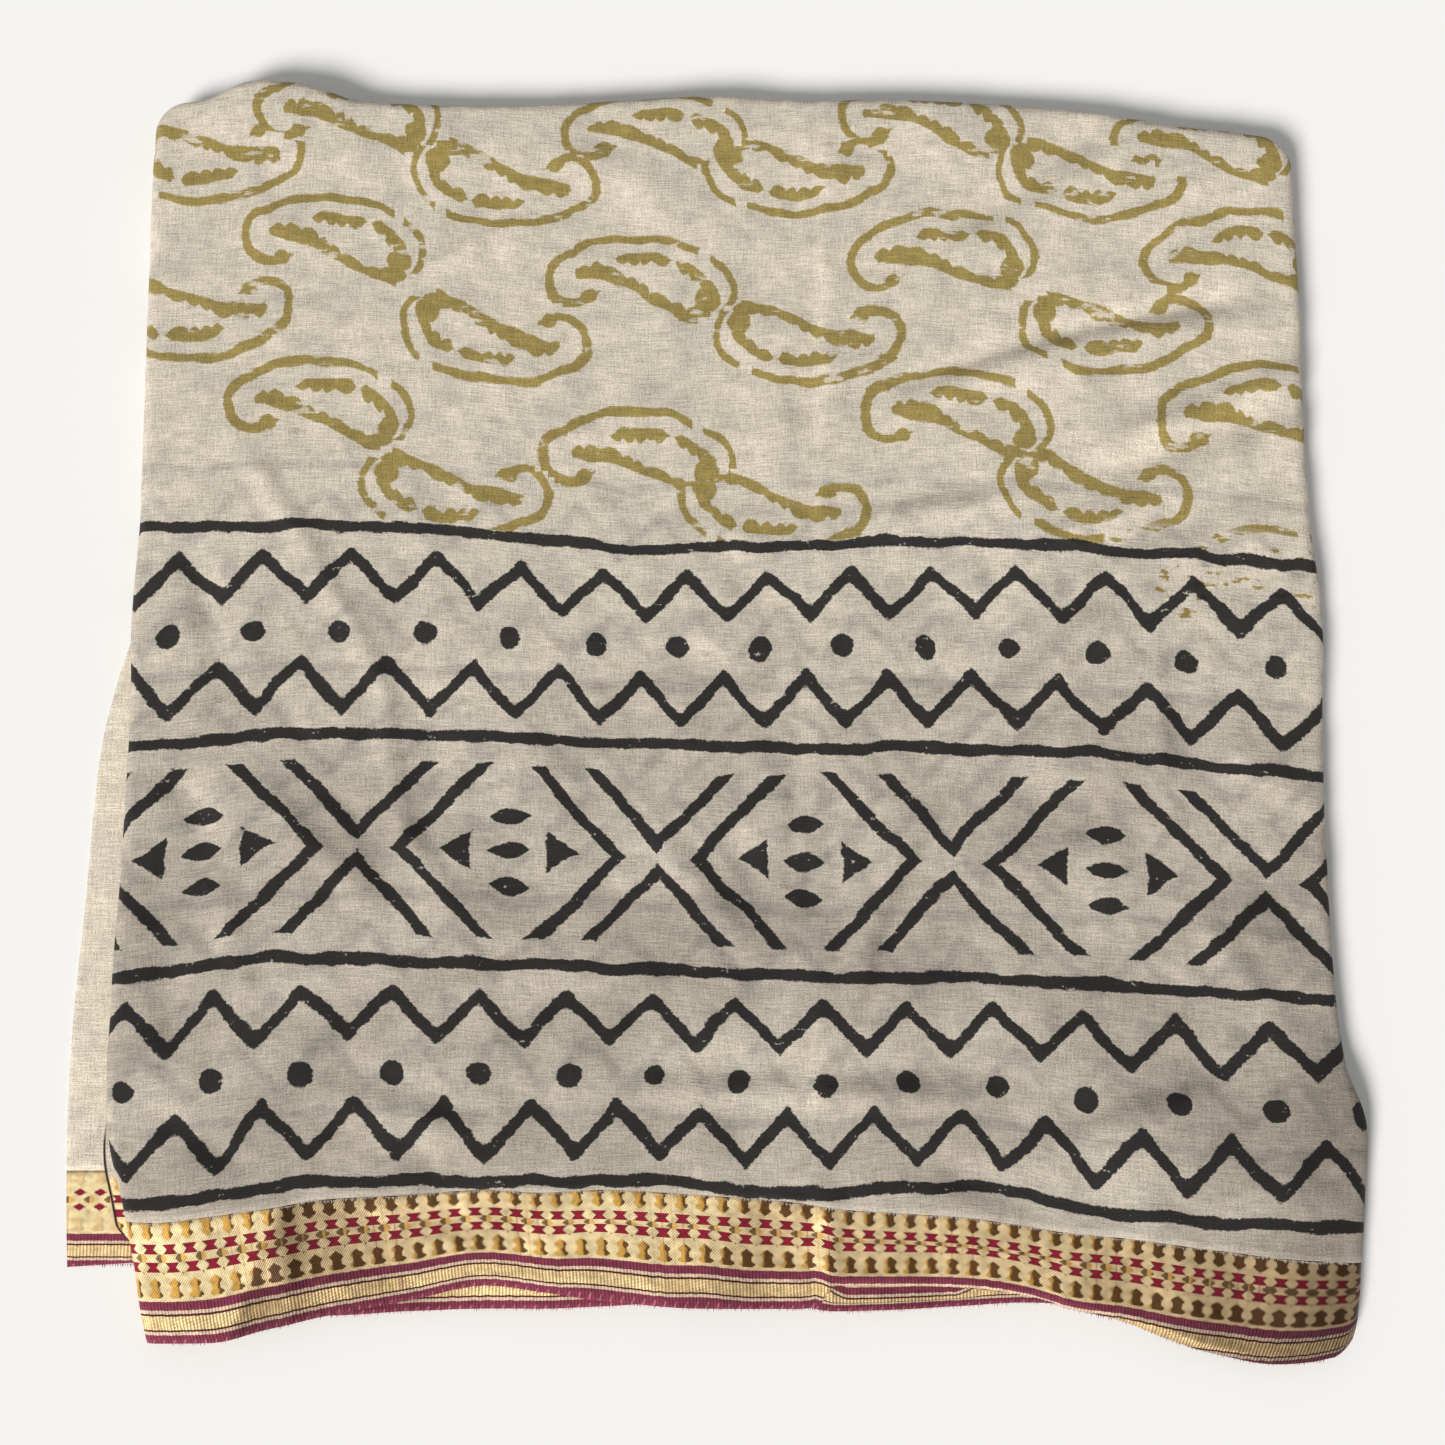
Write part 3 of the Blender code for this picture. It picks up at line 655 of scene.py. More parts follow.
def half_round(back, depth, top, bottom, steps):
    """Section of a fold's edge, from its top round to its underside."""
    middle, half = (top + bottom) / 2, (top - bottom) / 2
    turns = [math.pi * (0.5 - n / steps) for n in range(steps + 1)]
    return [(back - depth * math.cos(turn), middle + half * math.sin(turn)) for turn in turns]


def fold_profile(shrink=0, room=0, steps=14):
    """Section of the top fold as (inset from the outline, height)."""
    return half_round(FOLD_REACH, FOLD_REACH - shrink - room, TOP - shrink, LIP_BOTTOM + shrink, steps)


def layered_profile():
    """Section of the hidden layers: a tongue of folds inside the top fold, its slot, and two lower folds."""
    profile = []
    for inset, z in fold_profile(CLOTH + GAP, TONGUE_ROOM, 30):
        groove = 0.5 - 0.5 * math.cos(2 * math.pi * (z - TONGUE_BOTTOM) / LAYER_THICKNESS)
        profile.append((inset + GROOVE_DEPTH * (1 - groove) * (z < CORE_TOP - 0.2), z))
    profile += [(SLOT_DEPTH, TONGUE_BOTTOM), (SLOT_DEPTH, THIRD_TOP)]
    for top, bottom, inset in ((THIRD_TOP, THIRD_TOP / 2 + 0.05, 0), (THIRD_TOP / 2 - 0.05, 0, 0.5)):
        profile += half_round(LOWER_FOLD_INSET + inset + 0.6, 0.6, top, bottom, 8)
    return profile


core_across = evenly((-HALF_WIDTH + CORNER, HALF_WIDTH - CORNER, CORE_CELL))
core_along = evenly(
    (CORE_HEM_INSET + CORNER, BORDER_ALONG, CORE_CELL),
    (BORDER_ALONG, STEP, STEP),
    (STEP, STEP + STEP_RAMP, STEP),
    (STEP + STEP_RAMP, LENGTH - CORNER, CORE_CELL),
)
packet, flat, faces = wrapped(core_across, core_along, layered_profile(), True)
across, along, inset, z = packet.T
z = np.minimum(z, STEP_TOP + (CORE_TOP - STEP_TOP) * np.clip((along - STEP) / STEP_RAMP, 0, 1))
y = y_at(across, along)
lower = (z <= THIRD_TOP) & (inset < SLOT_DEPTH) & (across < -HALF_WIDTH + CORNER)
out = np.clip((-HALF_WIDTH + CORNER - across) / (CORNER - SLOT_DEPTH), 0, 1)
across = across + np.where(lower, LEFT_ROOM * out * (1 - blend(*LEFT_ROOM_Y, y)), 0)
points = settled(x_at(across, y), y, z)

# Each layer's hem ends a little short of the one above it, and not evenly
hem_edge = (along < CORE_HEM_INSET + CORNER) & (inset < CORNER) & (z > 0.05)
uneven = np.sin(across / 31 + z * 2.3) * 0.6 + np.sin(across / 12.7 + z * 5.1) * 0.35
points[:, 1] += np.where(hem_edge, 0.9 + uneven * 0.9, 0)

layers, layers_shader, u, v = new_material("folded layers of cotton")
layers_colour, layers_height = plain_weave(u, v, COTTON_WARM, COTTON_COOL)
_, y_metres, z_metres = layers_colour.node("TexCoord", {}, {}, 3).parts()
height_mm = z_metres / MM
layer_share = height_mm.maths("FRACT", (height_mm - TONGUE_BOTTOM) / LAYER_THICKNESS + 0.5)
hem_place = (y_metres / MM).rises(-188, -200) * height_mm.rises(2.6, 3)
edge_stripe = band(layer_share, 0.3, 0.72, 0.06)
gold_stripe = band(layer_share, 0.12, 0.24, 0.04)
layers_colour = (hem_place * edge_stripe).over(layers_colour, CRIMSON_RIB)
layers_colour = (hem_place * gold_stripe).over(layers_colour, GOLD_AMBER)
set_cloth(layers_shader, layers_colour, layers_height)

folded_core = cloth_piece("folded_layers", points, faces, flat, layers, wall=0)
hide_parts("folded_core")
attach(folded_core, "root")

# Third border
# A lower layer's border comes out a few millimetres from under the left fold. It is one thin strip between
# the lowest layer and the folds, tucked in at both ends, its outer rim painted dark as the shadow in the gap
# beside it.
THIRD_BACK_Y, THIRD_FRONT_Y = -148, -204
THIRD_REACH = 5
THIRD_SEAM_Y = -181.5
THIRD_SQUEEZE = 0.78  # the rows stand closer here than they were woven
# Painted shadow along the strip's outer rim
RIM_PAINTED_SHADOW = (0.03, 0.01, 0.01, 1)

third_weave, third_shader, u, v = new_material("woven border of a lower layer")
third_down = (THIRD_SEAM_Y - v) / THIRD_SQUEEZE
third_colour, third_metal, third_height = woven_border(u, third_down)
above_seam = third_down.rises(0.3, -0.3)
third_cotton, cotton_height = plain_weave(u, v, COTTON_WARM, COTTON_COOL)
third_colour = above_seam.over(third_colour, third_cotton)
# Painted shadow: the strip's outer rim, towards its front, is darkened as the shadow in the gap beside it
rim = third_colour.node("Attribute", {"attribute_name": "rim"}, {}, 2)
rim = rim.rises(0.86, 0.93) * v.rises(-158, -170)
third_colour = rim.over(third_colour, RIM_PAINTED_SHADOW)
set_border(third_shader, third_colour, third_metal * (1 - above_seam) * (1 - rim), third_height)

out, y = np.meshgrid(np.linspace(1, 0, 9), np.linspace(THIRD_FRONT_Y, THIRD_BACK_Y, 57), indexing="ij")
bulge = THIRD_REACH * blend(THIRD_BACK_Y, THIRD_BACK_Y - 34, y)
bulge = bulge * blend(THIRD_FRONT_Y - 3, THIRD_FRONT_Y + 6, y)
inset = UNDER_SIDE_INSET - (bulge + UNDER_SIDE_INSET) * out
droop = 0.5 * out**2 * blend(0, 3, bulge) + 0.12 * np.sin(y / 4.1)
points = np.stack((through(SIDES, y, "left") + inset, y, THIRD_TOP - 0.2 - droop), -1)
places = points[..., :2]
third_border = cloth_piece("third_border_cloth", points, rows_of_quads(*y.shape), places, third_weave)
third_border.data.attributes.new("rim", "FLOAT", "POINT").data.foreach_set("value", out.ravel())
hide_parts("third_border")
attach(third_border, "root")

# Second border
# The hem border of the next layer down shows under the first in two places, where the top hem is turned up.
# It lies flat on the hidden layers, woven in one with its cloth, its crimson selvedge to the front.
SECOND_SIDE_INSET = 6.5
SECOND_BACK = BORDER_ALONG + 8
WEAVE_CELL = 1.5
SECOND_PLEAT = 4.8  # right of the middle most of its gold band is hidden in a small pleat

border_weave, border_shader, u, down_v = new_material("woven border")
set_border(border_shader, *woven_border(u, down_v))

inner = HALF_WIDTH - SECOND_SIDE_INSET
across, share = np.meshgrid(evenly((-inner, inner, 2.2)), np.linspace(0, 1, 34), indexing="ij")
hem, seam = reach(across, "second_hem"), reach(across, "seam")
y = hem + (seam + SECOND_BACK - BORDER_ALONG - hem) * share
x = x_at(across, y)
points = settled(x, y, CORE_TOP - 0.25)
down = BORDER_DEPTH * (1 - (y - hem) / (seam - hem))
down -= SECOND_PLEAT * blend(38, 48, x) * blend(98, 86, x) * blend(2.3, 3.8, y - hem)
places = np.stack((x + 2.6, down), -1)
second_border = cloth_piece("second_border_cloth", points, rows_of_quads(*y.shape), places, border_weave)
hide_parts("second_border")
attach(second_border, "root")

# Printed top layer
# The right side of the cotton, block printed by hand: rows of olive paisleys, then black bands of zigzags,
# dots and diamonds between ruled lines. It turns round three folds and shows the layer below faintly.
PANEL_CELL = 2.5
FINE_CELL = 1.2  # near the centre crease
INK_BLACK = (0.017, 0.015, 0.016, 1)
INK_DEEPEST = (0, 0, 0, 1)
INK_OLIVE = (0.47, 0.385, 0.105, 1)
GREYED = (0.655, 0.642, 0.648, 1)  # where more printed layers lie below the sheer cloth
GHOST_TONE = (0.77, 0.79, 0.82, 1)
CORNER_PAINTED_SHADE = (0.66, 0.65, 0.65, 1)  # painted shade over the front right corner
LINE_HEIGHTS = (0, -79, -163.6, -243)  # of the four ruled lines as printed, down from the first
LOWER_BAND = 163.6  # from the first band of zigzags down to the second
DIAMOND_ROW = -121.5
DIAMOND_PITCH = 112.7
DIAMOND_FIRST = -190.8
DIAMOND_REACH = (41.5, 32.5)  # half its width and half its height
DOT_PITCH, DOT_FIRST, DOT_SLIP = 32.2, -207.7, 8.4
DOT_HEIGHT, DOT_RADIUS = -40.3, 4.3
LENS_UP = 13.4  # from the diamond's middle to the lens above it
LENS_HALF_HEIGHT = 3.3
STROKE = 2.2  # half the width of a block's line
BLUNT = 0.8  # half the width of a zigzag's turns
GHOST_SHIFT = (11, 24)  # how far the layer below lies out of line
SWAY, GHOST_SWAY, STAMP_SWAY = 4, 6, 5  # how far the lines wander

# The two rows of zigzags: their peaks' spacing, the first peak, its slip in the lower band, and the heights
ZIGZAGS = table(
    "pitch first slip peak trough",
    (32.2, -204.5, 12.4, -11.8, -27), (32.1, -189.6, 7.7, -52.3, -68.6),
)

# Heights of the four printed lines across the cloth, hand placed and never quite straight. The slip is how
# far the blocks stand to the right of even spacing.
LINES = table(
    "x first second third fourth slip",
    (-240, 60.5, -23, -110, -191, 0), (-200, 62.2, -21.2, -106.5, -190.3, 0.6),
    (-165, 63.5, -17.6, -101.8, -185.2, 1.2), (-130, 62.8, -17.7, -101.8, -182.1, 1.9),
    (-98, 60.8, -18.6, -103, -182.1, 2.3), (-60, 56.6, -20.2, -104.6, -182.6, 2.2),
    (-25, 53.8, -22.3, -105.5, -181.6, 1.4), (7, 54.4, -22.7, -107, -184.9, 0.3),
    (39, 55.4, -23, -108.2, -186, -0.8), (80, 56.6, -23, -108.8, -184, -1.8),
    (105, 56.5, -23.7, -109.4, -185.6, -2.1), (138, 54.4, -25.2, -111, -192.8, -1.5),
    (180, 52, -29.8, -113.9, -196.9, 0.4), (228, 46.7, -34, -116.8, -198.2, 2.6),
    (250, 44.5, -36, -118.5, -198.8, 3.2),
)
# Impressions of the paisley block: its middle, its turn, and 1 or -1 for it upright or upside down
STAMPS = table(
    "x y turn way",
    (-144.8, 234.1, -3, 1), (-23.4, 225.6, -2, 1), (85.9, 232, -4, 1), (192.8, 221.3, -3, 1),
    (-149, 181.4, -6, 1), (-28.9, 164.7, -4, 1), (88.8, 175.1, 4, 1), (204, 175.1, 5, 1),
    (-152.5, 113.6, -4, 1), (-30.3, 93.4, -1, 1), (93.4, 109.5, -5, 1), (206.5, 111.5, 6, 1),
    (204, 45.8, 8, 1), (-197.5, 210.8, 5, -1), (-82.5, 200.2, -5, -1), (34, 204.4, 3, -1),
    (148.6, 202.3, -4, -1), (-200.5, 146.2, 4, -1), (-85.2, 135.9, -8, -1), (37.5, 135.9, 1, -1),
    (156.3, 140, 2, -1), (-99.3, 73.4, -4, -1), (23.5, 67.5, -3, -1), (146.4, 73.4, -5, -1),
)
STAMP_SIZE = (38, 17)  # half width and half height of the block


def print_height(x, y):
    """Height on the print, in which the four ruled lines are straight."""
    tops = [through(LINES, x, column) for column in LINES[0]._fields[1:5]]
    result = LINE_HEIGHTS[3] + (y - tops[3])
    for n in (2, 1, 0):
        share = (y - tops[n + 1]) / (tops[n] - tops[n + 1])
        between = LINE_HEIGHTS[n + 1] + (LINE_HEIGHTS[n] - LINE_HEIGHTS[n + 1]) * share
        result = np.where(y > tops[n + 1], between, result)
    return np.where(y > tops[0], y - tops[0], result)


def stamped(mesh, flat_x, flat_y):
    """Gives each face its place on the nearest impression of the paisley block."""
    corners = whole_numbers(mesh.loops, "vertex_index")
    counts = whole_numbers(mesh.polygons, "loop_total")
    x, y = flat_x[corners], flat_y[corners]
    face = np.repeat(np.arange(len(counts)), counts)
    middle_x, middle_y = np.bincount(face, x) / counts, np.bincount(face, y) / counts
    nearest = np.argmin([
        ((middle_x - s.x) / STAMP_SIZE[0]) ** 2 + ((middle_y - s.y) / STAMP_SIZE[1]) ** 2 for s in STAMPS
    ], axis=0)[face]
    place = np.array([(s.x, s.y, math.radians(s.turn), s.way) for s in STAMPS])[nearest]
    dx, dy, turn, way = x - place[:, 0], y - place[:, 1], place[:, 2], place[:, 3]
    p = (dx * np.cos(turn) + dy * np.sin(turn)) * way
    q = (dy * np.cos(turn) - dx * np.sin(turn)) * way
    mesh.uv_layers.new(name="stamp").data.foreach_set("uv", np.stack((p, q), 1).ravel())


def zigzag(u, v, row):
    """Distance from a zigzag line with blunt turns."""
    fall = (row.peak - row.trough) / (row.pitch / 2 - 2 * BLUNT)
    off = u.from_middle(row.pitch, row.first)
    off = off.maths("SMOOTH_MAX", off, BLUNT, 2 * BLUNT)
    off = off.maths("SMOOTH_MIN", off, row.pitch / 2 - BLUNT, 2 * BLUNT)
    return abs(v - row.peak + (off - BLUNT) * fall) * (1 / math.hypot(1, fall))


def bands(u, v):
    """Distance from the edge of the black print's lines, zigzags, dots and diamonds, below 0 inside them."""
    low = v.rises(-121, -121.2)
    w = v + low * LOWER_BAND
    rules = abs(w).least(abs(w - LINE_HEIGHTS[1])) - STROKE
    first, second = (zigzag(u + low * row.slip, w, row) for row in ZIGZAGS)
    dot_u = (u + low * DOT_SLIP).from_middle(DOT_PITCH, DOT_FIRST)
    dot_v = w - DOT_HEIGHT
    dots = w.maths("SQRT", dot_u * dot_u + dot_v * dot_v) - DOT_RADIUS
    inked = (first.least(second) - STROKE).least(dots).least(rules)
    off = u.from_middle(DIAMOND_PITCH, DIAMOND_FIRST)
    up = abs(v - DIAMOND_ROW)
    diamond = abs(off + up * 0.98 - DIAMOND_REACH[0]) * 0.714 - STROKE
    cross = abs(up - 5 - (DIAMOND_PITCH / 2 - off) * 1.05) * 0.69 - STROKE
    slanted = diamond.least(cross).most(up - DIAMOND_REACH[1])
    lens_up = abs(up - LENS_UP).least(up)
    lens = lens_up + (off * off) * (LENS_HALF_HEIGHT / 56) - LENS_HALF_HEIGHT
    wedge = (up - (25.6 - off) * 0.66).most(14 - off) * 0.83
    return inked.least(slanted).least(lens).least(wedge)


def paisley(p, q):
    """Distance from the edge of a paisley block's lines: the hooked outline and the toothed leaf in it."""

    def oval(x, y, width, height):
        dx, dy = (p - x) / width, (q - y) / height
        size = p.maths("SQRT", dx * dx + dy * dy)
        steep = p.maths("SQRT", dx * dx / width**2 + dy * dy / height**2)
        return (size - 1) * size / steep

    teeth = abs(p.maths("SINE", p * 0.5 + 0.8 * p.maths("SINE", p * 0.27))) * 1.7
    arch = abs(oval(1, -5, 35.5, 20)) - (1.6 - p.rises(-10, 34) * 0.45)
    arch = arch.most(-9 - q - p.rises(0, 10) * 5).most(-27.4 - p)
    arch = arch.most(3.2 - abs(p - 24.5) * 1.2 - p.rises(30, 33) * 9)
    hook = (abs(oval(-25.3, -3.3, 10.2, 10.4)) - 1.6).most((p + 26.6).least(q + 9.6))
    blob = oval(-19.4, -11.2, 3, 2.7)
    upper = oval(2.5, -8.5, 27, 15.6) + teeth * 0.5
    stub = abs(p - 13.5).rises(3.6, 0.4) * 2.2 + p.rises(-5.5, -12) * 3.6
    upper = (abs(upper) - (1.6 + teeth * 0.5 - stub)).most(-10 - q)
    s = (p + 26) / 49.5
    fall = s.rises(0.16, 1.12) * 15.5
    lower = abs(q + 2 + fall - teeth * 0.45) * 0.88
    lower = lower - (1.45 + teeth * 0.45 + p.rises(-23, -16) * p.rises(-4, -13) * 0.9)
    lower = lower.most(-25.6 - p + abs(q + 2) * 0.4).most(p - 25.5)
    tip = oval(27.4, -9.2, 4.4, 4.6)
    heel = oval(24, -14.8, 5.4, 2.6)
    return arch.least(hook).least(blob).least(upper).least(lower).least(tip).least(heel)


printed, printed_shader, u, v = new_material("printed cotton")
cotton_colour, cotton_height = plain_weave(u, v, COTTON_WARM, COTTON_COOL)
sway_u, sway_v, _ = u.noise(u / 21, v / 21, 1, 1).parts()
sway_u, sway_v = sway_u - 0.5, sway_v - 0.5
ragged = u.noise(u * 0.9, v * 0.9, 2)
thin = u.noise(u / 7, v / 2.6, 3)
edge = (ragged - 0.5) * 0.9 + (thin - 0.5) * 1.8
black = bands(u + sway_u * SWAY, v + sway_v * SWAY) + edge
dry = (ragged * 0.6 + thin).rises(1.06, 1.14)
black_mask = black.rises(0.28, -0.28) * (1 - dry * 0.7) * v.rises(-250, -249)
ghost = bands(u + GHOST_SHIFT[0] + sway_v * GHOST_SWAY, v - GHOST_SHIFT[1] + sway_u * GHOST_SWAY)
ghost_mask = ghost.rises(1.1, -1.4) * v.rises(27, 25) * (0.15 + thin * 1.1)
stamp_p, stamp_q, _ = u.node("UVMap", {"uv_map": "stamp"}, {}).parts()
olive = paisley(stamp_p + sway_u * STAMP_SWAY, stamp_q + sway_v * STAMP_SWAY) + edge * 0.9
cut_off = v.rises(1, 2.5).most(u.rises(150, 151))
faded = (sway_u + thin).rises(0.72, 0.84)
last_stamp = v.rises(13, 9) * u.rises(150, 151)
olive_mask = olive.rises(0.6, -0.1) * cut_off * (1 - faded * 0.8) * (1 - last_stamp * thin.rises(0.36, 0.44))
colour = ghost_mask.over(cotton_colour, cotton_colour.shaded(GHOST_TONE))
soaked = 0.3 + ragged * 0.9 + thin * 0.5
colour = (olive_mask * 0.93).over(colour, cotton_colour.shaded(INK_OLIVE))
colour = (black_mask * 0.975).over(colour, soaked.over(INK_DEEPEST, INK_BLACK))
under_print = v.rises(50, -150) * (u.noise(u / 62 + 3.1, v / 44, 1) * 1.5)
colour = under_print.over(colour, colour.shaded(GREYED))
# Painted shade: the front right corner of the printed cloth is darkened
front_corner_painted_shade = u.rises(120, 240) * v.rises(-90, -230)
colour = front_corner_painted_shade.over(colour, colour.shaded(CORNER_PAINTED_SHADE))
set_cloth(printed_shader, colour, cotton_height)

panel_across = evenly(
    (-HALF_WIDTH + CORNER, 20, PANEL_CELL),
    (20, 50, FINE_CELL),
    (50, HALF_WIDTH - CORNER, PANEL_CELL),
)
panel_along = evenly((BORDER_ALONG - 0.2, LENGTH - CORNER, PANEL_CELL))
profile = fold_profile() + [(FOLD_REACH + LIP, LIP_BOTTOM)]
packet, flat, faces = wrapped(panel_across, panel_along, profile, False)
across, along, inset, z = packet.T
y = y_at(across, along)
points = settled(x_at(across, y), y, z)
flat_y = y_at(flat[:, 0], flat[:, 1])
flat_x = x_at(flat[:, 0], flat_y)
shown_x, shown_y = flat_x - MIDDLE[0], flat_y - MIDDLE[1]
places = np.stack((shown_x - through(LINES, shown_x, "slip"), print_height(shown_x, shown_y)), 1)
front_panel = cloth_piece("front_panel_cloth", points, faces, places, printed)
stamped(front_panel.data, shown_x, shown_y)
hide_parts("front_panel")
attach(front_panel, "root")

# Border of the top layer
# The hem border is woven in one with the printed cotton: gold figures, two crimson rows, a ribbed gold band
# and crimson selvedge. Right of the middle its edge is turned under, and it folds round at both ends.
PLEAT = (11.8, 13.6)  # depth of the pleat, between the crimson rows
TURNED_ALONG = 4.5  # how far in from the hem the cloth bends down

# How much of the woven depth shows before the edge is turned under, and how much a small pleat hides
SHOWN = table(
    "x share pleated",
    (-240, 1, 0), (-60, 1, 0.2), (-44, 1, 1.6), (-16, 1, 0.9), (-6, 1, 1.4), (14, 1, 0), (36, 1, 0.4),
    (44, 0.74, 0.8), (66, 0.73, 1.4), (96, 0.72, 2.4), (118, 0.72, 1.6), (134, 0.76, 0), (146, 0.8, 0),
    (164, 0.87, 0), (182, 0.93, 0), (206, 0.97, 0), (240, 1, 0),
)

inner = evenly((-HALF_WIDTH + CORNER, HALF_WIDTH - CORNER, WEAVE_CELL))
section = [(inset - HALF_WIDTH, z) for inset, z in reversed(profile)]
section += [(across, TOP) for across in inner]
section += [(HALF_WIDTH - inset, z) for inset, z in profile]
section = np.array(section)
steps = np.hypot(*np.diff(section, axis=0).T)
unrolled = np.concatenate(([0], np.cumsum(steps)))
unrolled -= unrolled[-1] / 2
border_along = evenly((0, BORDER_ALONG, FINE_CELL))
across, along = np.meshgrid(section[:, 0], border_along, indexing="ij")
z = section[:, 1:] + 0 * along
y = y_at(across, along)
x = x_at(across, y)
points = settled(x, y, z)
on_top = blend(6, TOP, z)
share = through(SHOWN, x, "share")
turned = 1 - blend(0, TURNED_ALONG, along)
points[..., 2] -= on_top * turned**2 * (0.5 + 1.5 * blend(1, 0.9, share))
points[..., 2] -= 0.12 * blend(BORDER_ALONG - 2, BORDER_ALONG, along)
down = BORDER_DEPTH * share * (1 - along / BORDER_ALONG)
down += through(SHOWN, x, "pleated") * blend(*PLEAT, down)
places = np.stack((unrolled[:, None] + 0 * along, down), -1)
front_border = cloth_piece("front_border_cloth", points, rows_of_quads(*y.shape), places, border_weave)
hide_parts("front_border")
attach(front_border, "root")

# Loose threads
# The crimson selvedges are frayed by wear into short tufts, and the cotton's brushed edge lies a little over
# the gold along the seam. Each is one row of fine tapered threads that follows its edge.
TUFT_PITCH, BRUSHED_PITCH = 0.85, 0.5
TUFT, BRUSHED = (1.35, 0.22, 0.35), (1.2, 0.13, 0.6)  # length, thickness and spread of a thread
CRIMSON_TIP = (0.36, 0.045, 0.09, 1)
COTTON_TIP = (0.82, 0.77, 0.68, 1)


def thread_nodes(name):
    """Geometry nodes that stand one tapered thread, uneven in length and turn, on each point of a path."""
    tree = bpy.data.node_groups.new(name, "GeometryNodeTree")

    def add_socket(label, way, kind):
        return tree.interface.new_socket(label, in_out=way, socket_type="NodeSocket" + kind).identifier

    def add(kind, settings, inputs, output=0):
        return new_node(tree, kind, settings, inputs).outputs[output]

    add_socket("Path", "INPUT", "Geometry")
    sockets = {label: add_socket(label, "INPUT", "Float") for label in ("Length", "Thickness", "Spread")}
    sockets["Material"] = add_socket("Material", "INPUT", "Material")
    add_socket("Threads", "OUTPUT", "Geometry")
    given = tree.nodes.new("NodeGroupInput").outputs
    sizes = {"Radius Top": 0, "Radius Bottom": given["Thickness"], "Depth": given["Length"]}
    cone = add("GeometryNodeMeshCone", {}, {"Vertices": 4, **sizes})
    narrow = add("ShaderNodeMath", {"operation": "MULTIPLY"}, {0: given["Spread"], 1: -1})
    low = add("ShaderNodeCombineXYZ", {}, {0: math.radians(84), 2: narrow})
    high = add("ShaderNodeCombineXYZ", {}, {0: math.radians(104), 2: given["Spread"]})
    turn = add("FunctionNodeRandomValue", {"data_type": "FLOAT_VECTOR"}, {"Min": low, "Max": high, "Seed": 3})
    size = add("FunctionNodeRandomValue", {"data_type": "FLOAT"}, {2: 0.45, 3: 1.25, "Seed": 8}, 1)
    threads = {"Points": given["Path"], "Instance": cone, "Rotation": turn, "Scale": size}
    placed = add("GeometryNodeInstanceOnPoints", {}, threads)
    real = add("GeometryNodeRealizeInstances", {}, {"Geometry": placed})
    dyed = add("GeometryNodeSetMaterial", {}, {"Geometry": real, "Material": given["Material"]})
    fill(tree.nodes.new("NodeGroupOutput"), {"Threads": dyed})
    return tree, sockets


def thread_row(name, points, length, thickness, spread, material):
    """One plain mesh of the threads that stand on these points, given in millimetres."""
    path = bpy.data.meshes.new(name + " path")
    path.from_pydata(final_frame(points).tolist(), [], [])
    row = in_scene(name, path)
    nodes = row.modifiers.new("threads", "NODES")
    nodes.node_group = thread_tree
    values = {"Length": length * MM, "Thickness": thickness * MM, "Spread": spread, "Material": material}
    for label, value in values.items():
        nodes[thread_inputs[label]] = value
    row_mesh = bpy.data.meshes.new_from_object(row.evaluated_get(bpy.context.evaluated_depsgraph_get()))
    row.modifiers.clear()
    row.data = row_mesh
    row_mesh.name = name
    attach(row, "root")
    return row


def thread_material(name, colour, tip):
    """Twisted thread whose tone changes from one thread to the next."""
    material = bpy.data.materials.new(name)
    material.use_nodes = True
    dye = Dye(material.node_tree)
    place = dye.node("TexCoord", {}, {}, 3)
    spots = dye.node("TexNoise", {}, {"Vector": place, "Scale": 900, "Detail": 1})
    colour = spots.rises(0.35, 0.65).over(colour, tip)
    set_cloth(material.node_tree.nodes["Principled BSDF"], colour, spots * 0.05)
    return material


thread_tree, thread_inputs = thread_nodes("threads along an edge")
crimson_thread = thread_material("frayed crimson thread", CRIMSON_RIB, CRIMSON_TIP)
cotton_thread = thread_material("brushed cotton thread", COTTON_WARM, COTTON_TIP)

across = evenly((-HALF_WIDTH + 9, HALF_WIDTH - 9, TUFT_PITCH))
y = y_at(across, 0.6)
x = x_at(across, y)
drop = 0.7 + 1.4 * blend(1, 0.9, through(SHOWN, x, "share"))
hem_points = settled(x, y, TOP) - drop[:, None] * (0, 0, 1)
y = reach(across, "second_hem") + 0.5
second_points = settled(x_at(across, y), y, CORE_TOP - 0.4)
under_x = np.linspace(UNDER_EDGE[-1].left + 0.6, SIDES[-3].left - 2, 26)
under_points = [(x, UNDER_HEM_Y[1] - 0.8, SHEER) for x in under_x]
selvedge = np.vstack((hem_points, second_points, under_points))
frayed_selvedge = thread_row("frayed_selvedge", selvedge, *TUFT, crimson_thread)

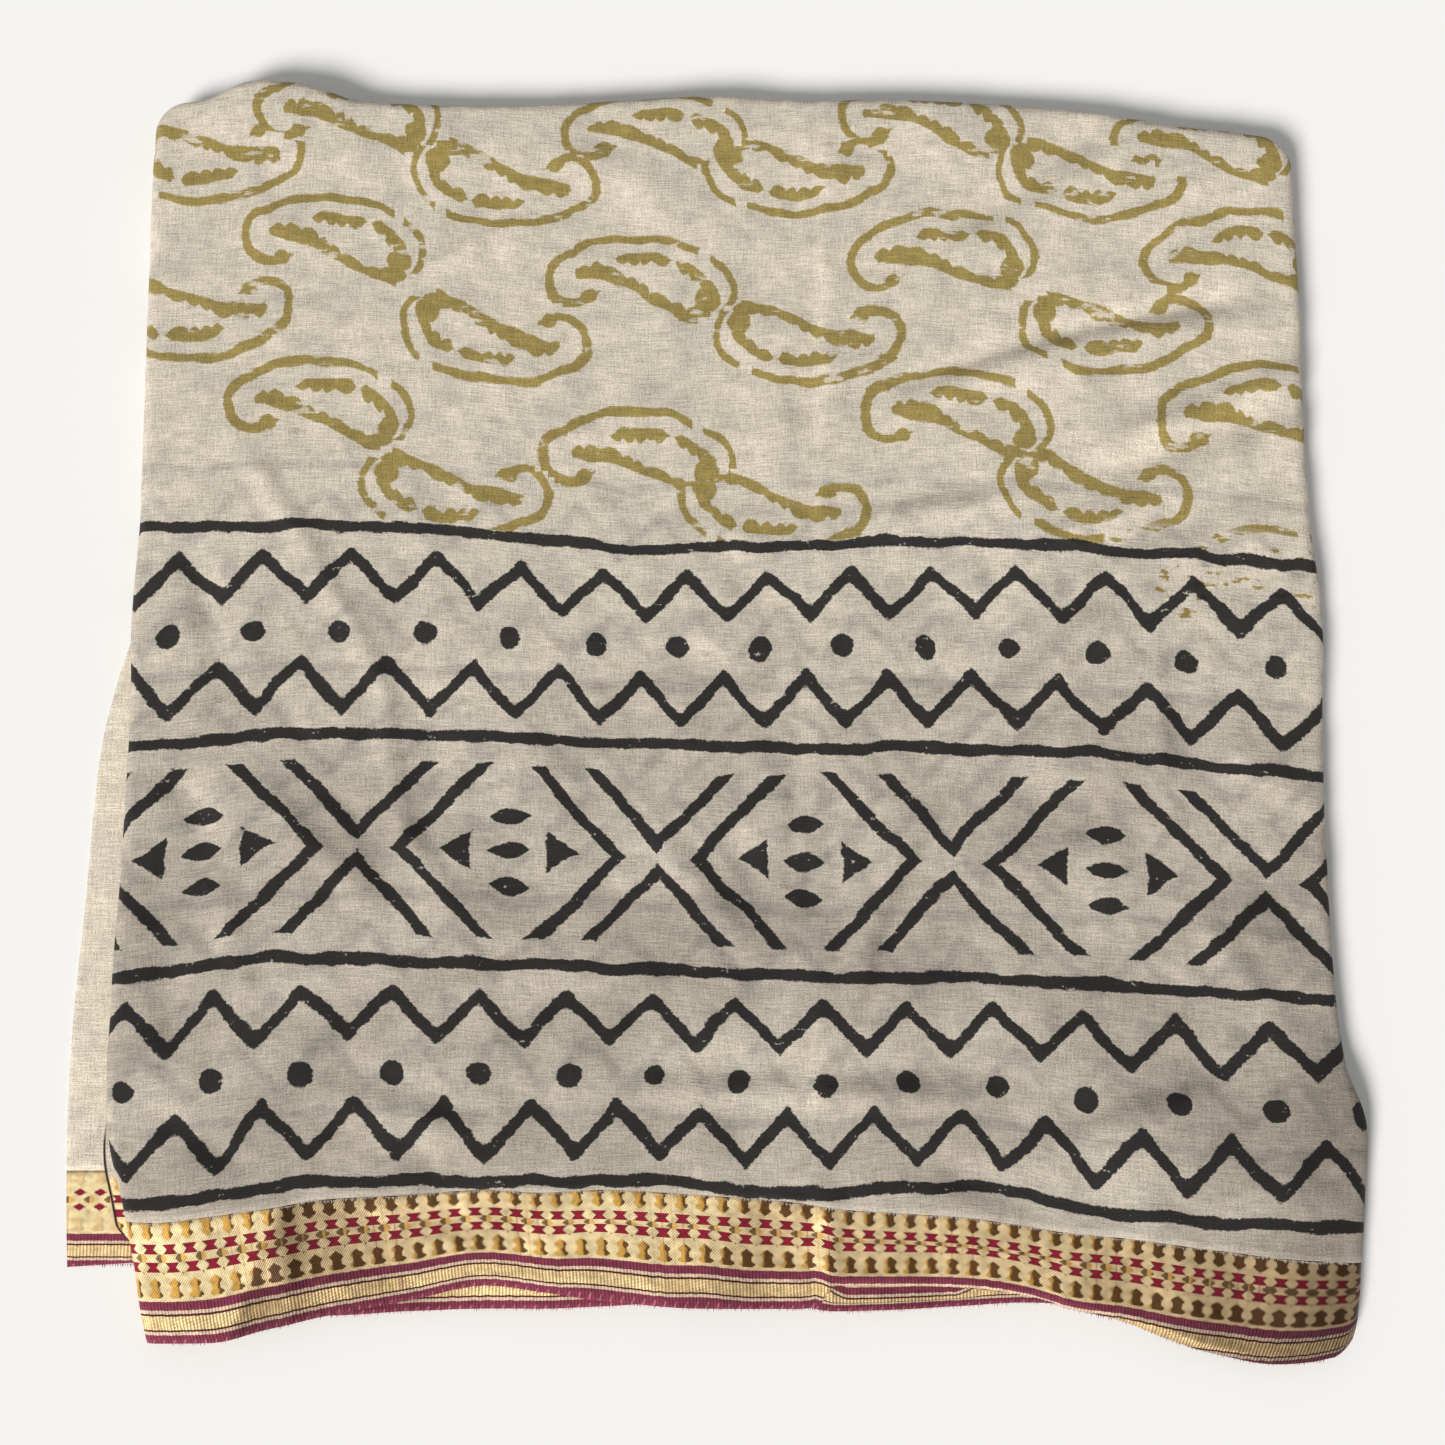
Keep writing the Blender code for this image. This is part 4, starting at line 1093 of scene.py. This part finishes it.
across = evenly((-HALF_WIDTH + 6, HALF_WIDTH - 6, BRUSHED_PITCH))
uneven = np.sin(across / 3.7) * 0.25 + np.sin(across / 1.9 + 2) * 0.2
y = y_at(across, BORDER_ALONG - 0.4 + uneven)
seam_points = settled(x_at(across, y), y, TOP + 0.02)
brushed_edge = thread_row("brushed_seam", seam_points, *BRUSHED, cotton_thread)

# Floor, light and camera
# A plain pale floor under soft studio light from the front left, low enough to show the cloth's creases.
# The camera looks down on the packet, leaning a little to the front.
HALF_FLOOR = 3.0
FLOOR_Z = -0.0002  # just under the packet
FLOOR_TONE = (0.93, 0.925, 0.91, 1)
CAMERA_AIM = (0.0034, -0.0125, 0.006)
CAMERA_DISTANCE = 0.76
CAMERA_TILT = math.radians(10)

floor_mesh = bpy.data.meshes.new("floor")
corners = [(x * HALF_FLOOR, y * HALF_FLOOR, FLOOR_Z) for x, y in ((-1, -1), (1, -1), (1, 1), (-1, 1))]
floor_mesh.from_pydata(corners, [], [(0, 1, 2, 3)])
floor_paint = bpy.data.materials.new("pale floor")
floor_paint.use_nodes = True
fill(floor_paint.node_tree.nodes["Principled BSDF"], {"Base Color": FLOOR_TONE, "Roughness": 0.9})
floor_mesh.materials.append(floor_paint)
floor = in_scene("floor", floor_mesh)

world = bpy.data.worlds.new("studio")
world.use_nodes = True
fill(world.node_tree.nodes["Background"], {"Color": (0.97, 0.985, 1, 1), "Strength": 0.32})
bpy.context.scene.world = world

key = bpy.data.lights.new("key", "SUN")
key.energy = 3.5
key.angle = math.radians(20)
key.color = (1, 0.98, 0.95)
key_lamp = in_scene("key", key)
key_lamp.location = (-1, -1.45, 1.33)
key_lamp.rotation_mode = "QUATERNION"
key_lamp.rotation_quaternion = key_lamp.location.to_track_quat("Z", "Y")

camera_data = bpy.data.cameras.new("camera")
camera_data.lens = 50
camera_data.sensor_width = 36
camera_data.clip_start = 0.01
camera = in_scene("camera", camera_data)
back = (0, -math.sin(CAMERA_TILT), math.cos(CAMERA_TILT))
camera.location = [aim + CAMERA_DISTANCE * way for aim, way in zip(CAMERA_AIM, back)]
camera.rotation_euler = (CAMERA_TILT, 0, 0)
bpy.context.scene.camera = camera
bpy.context.scene.view_settings.view_transform = "Standard"
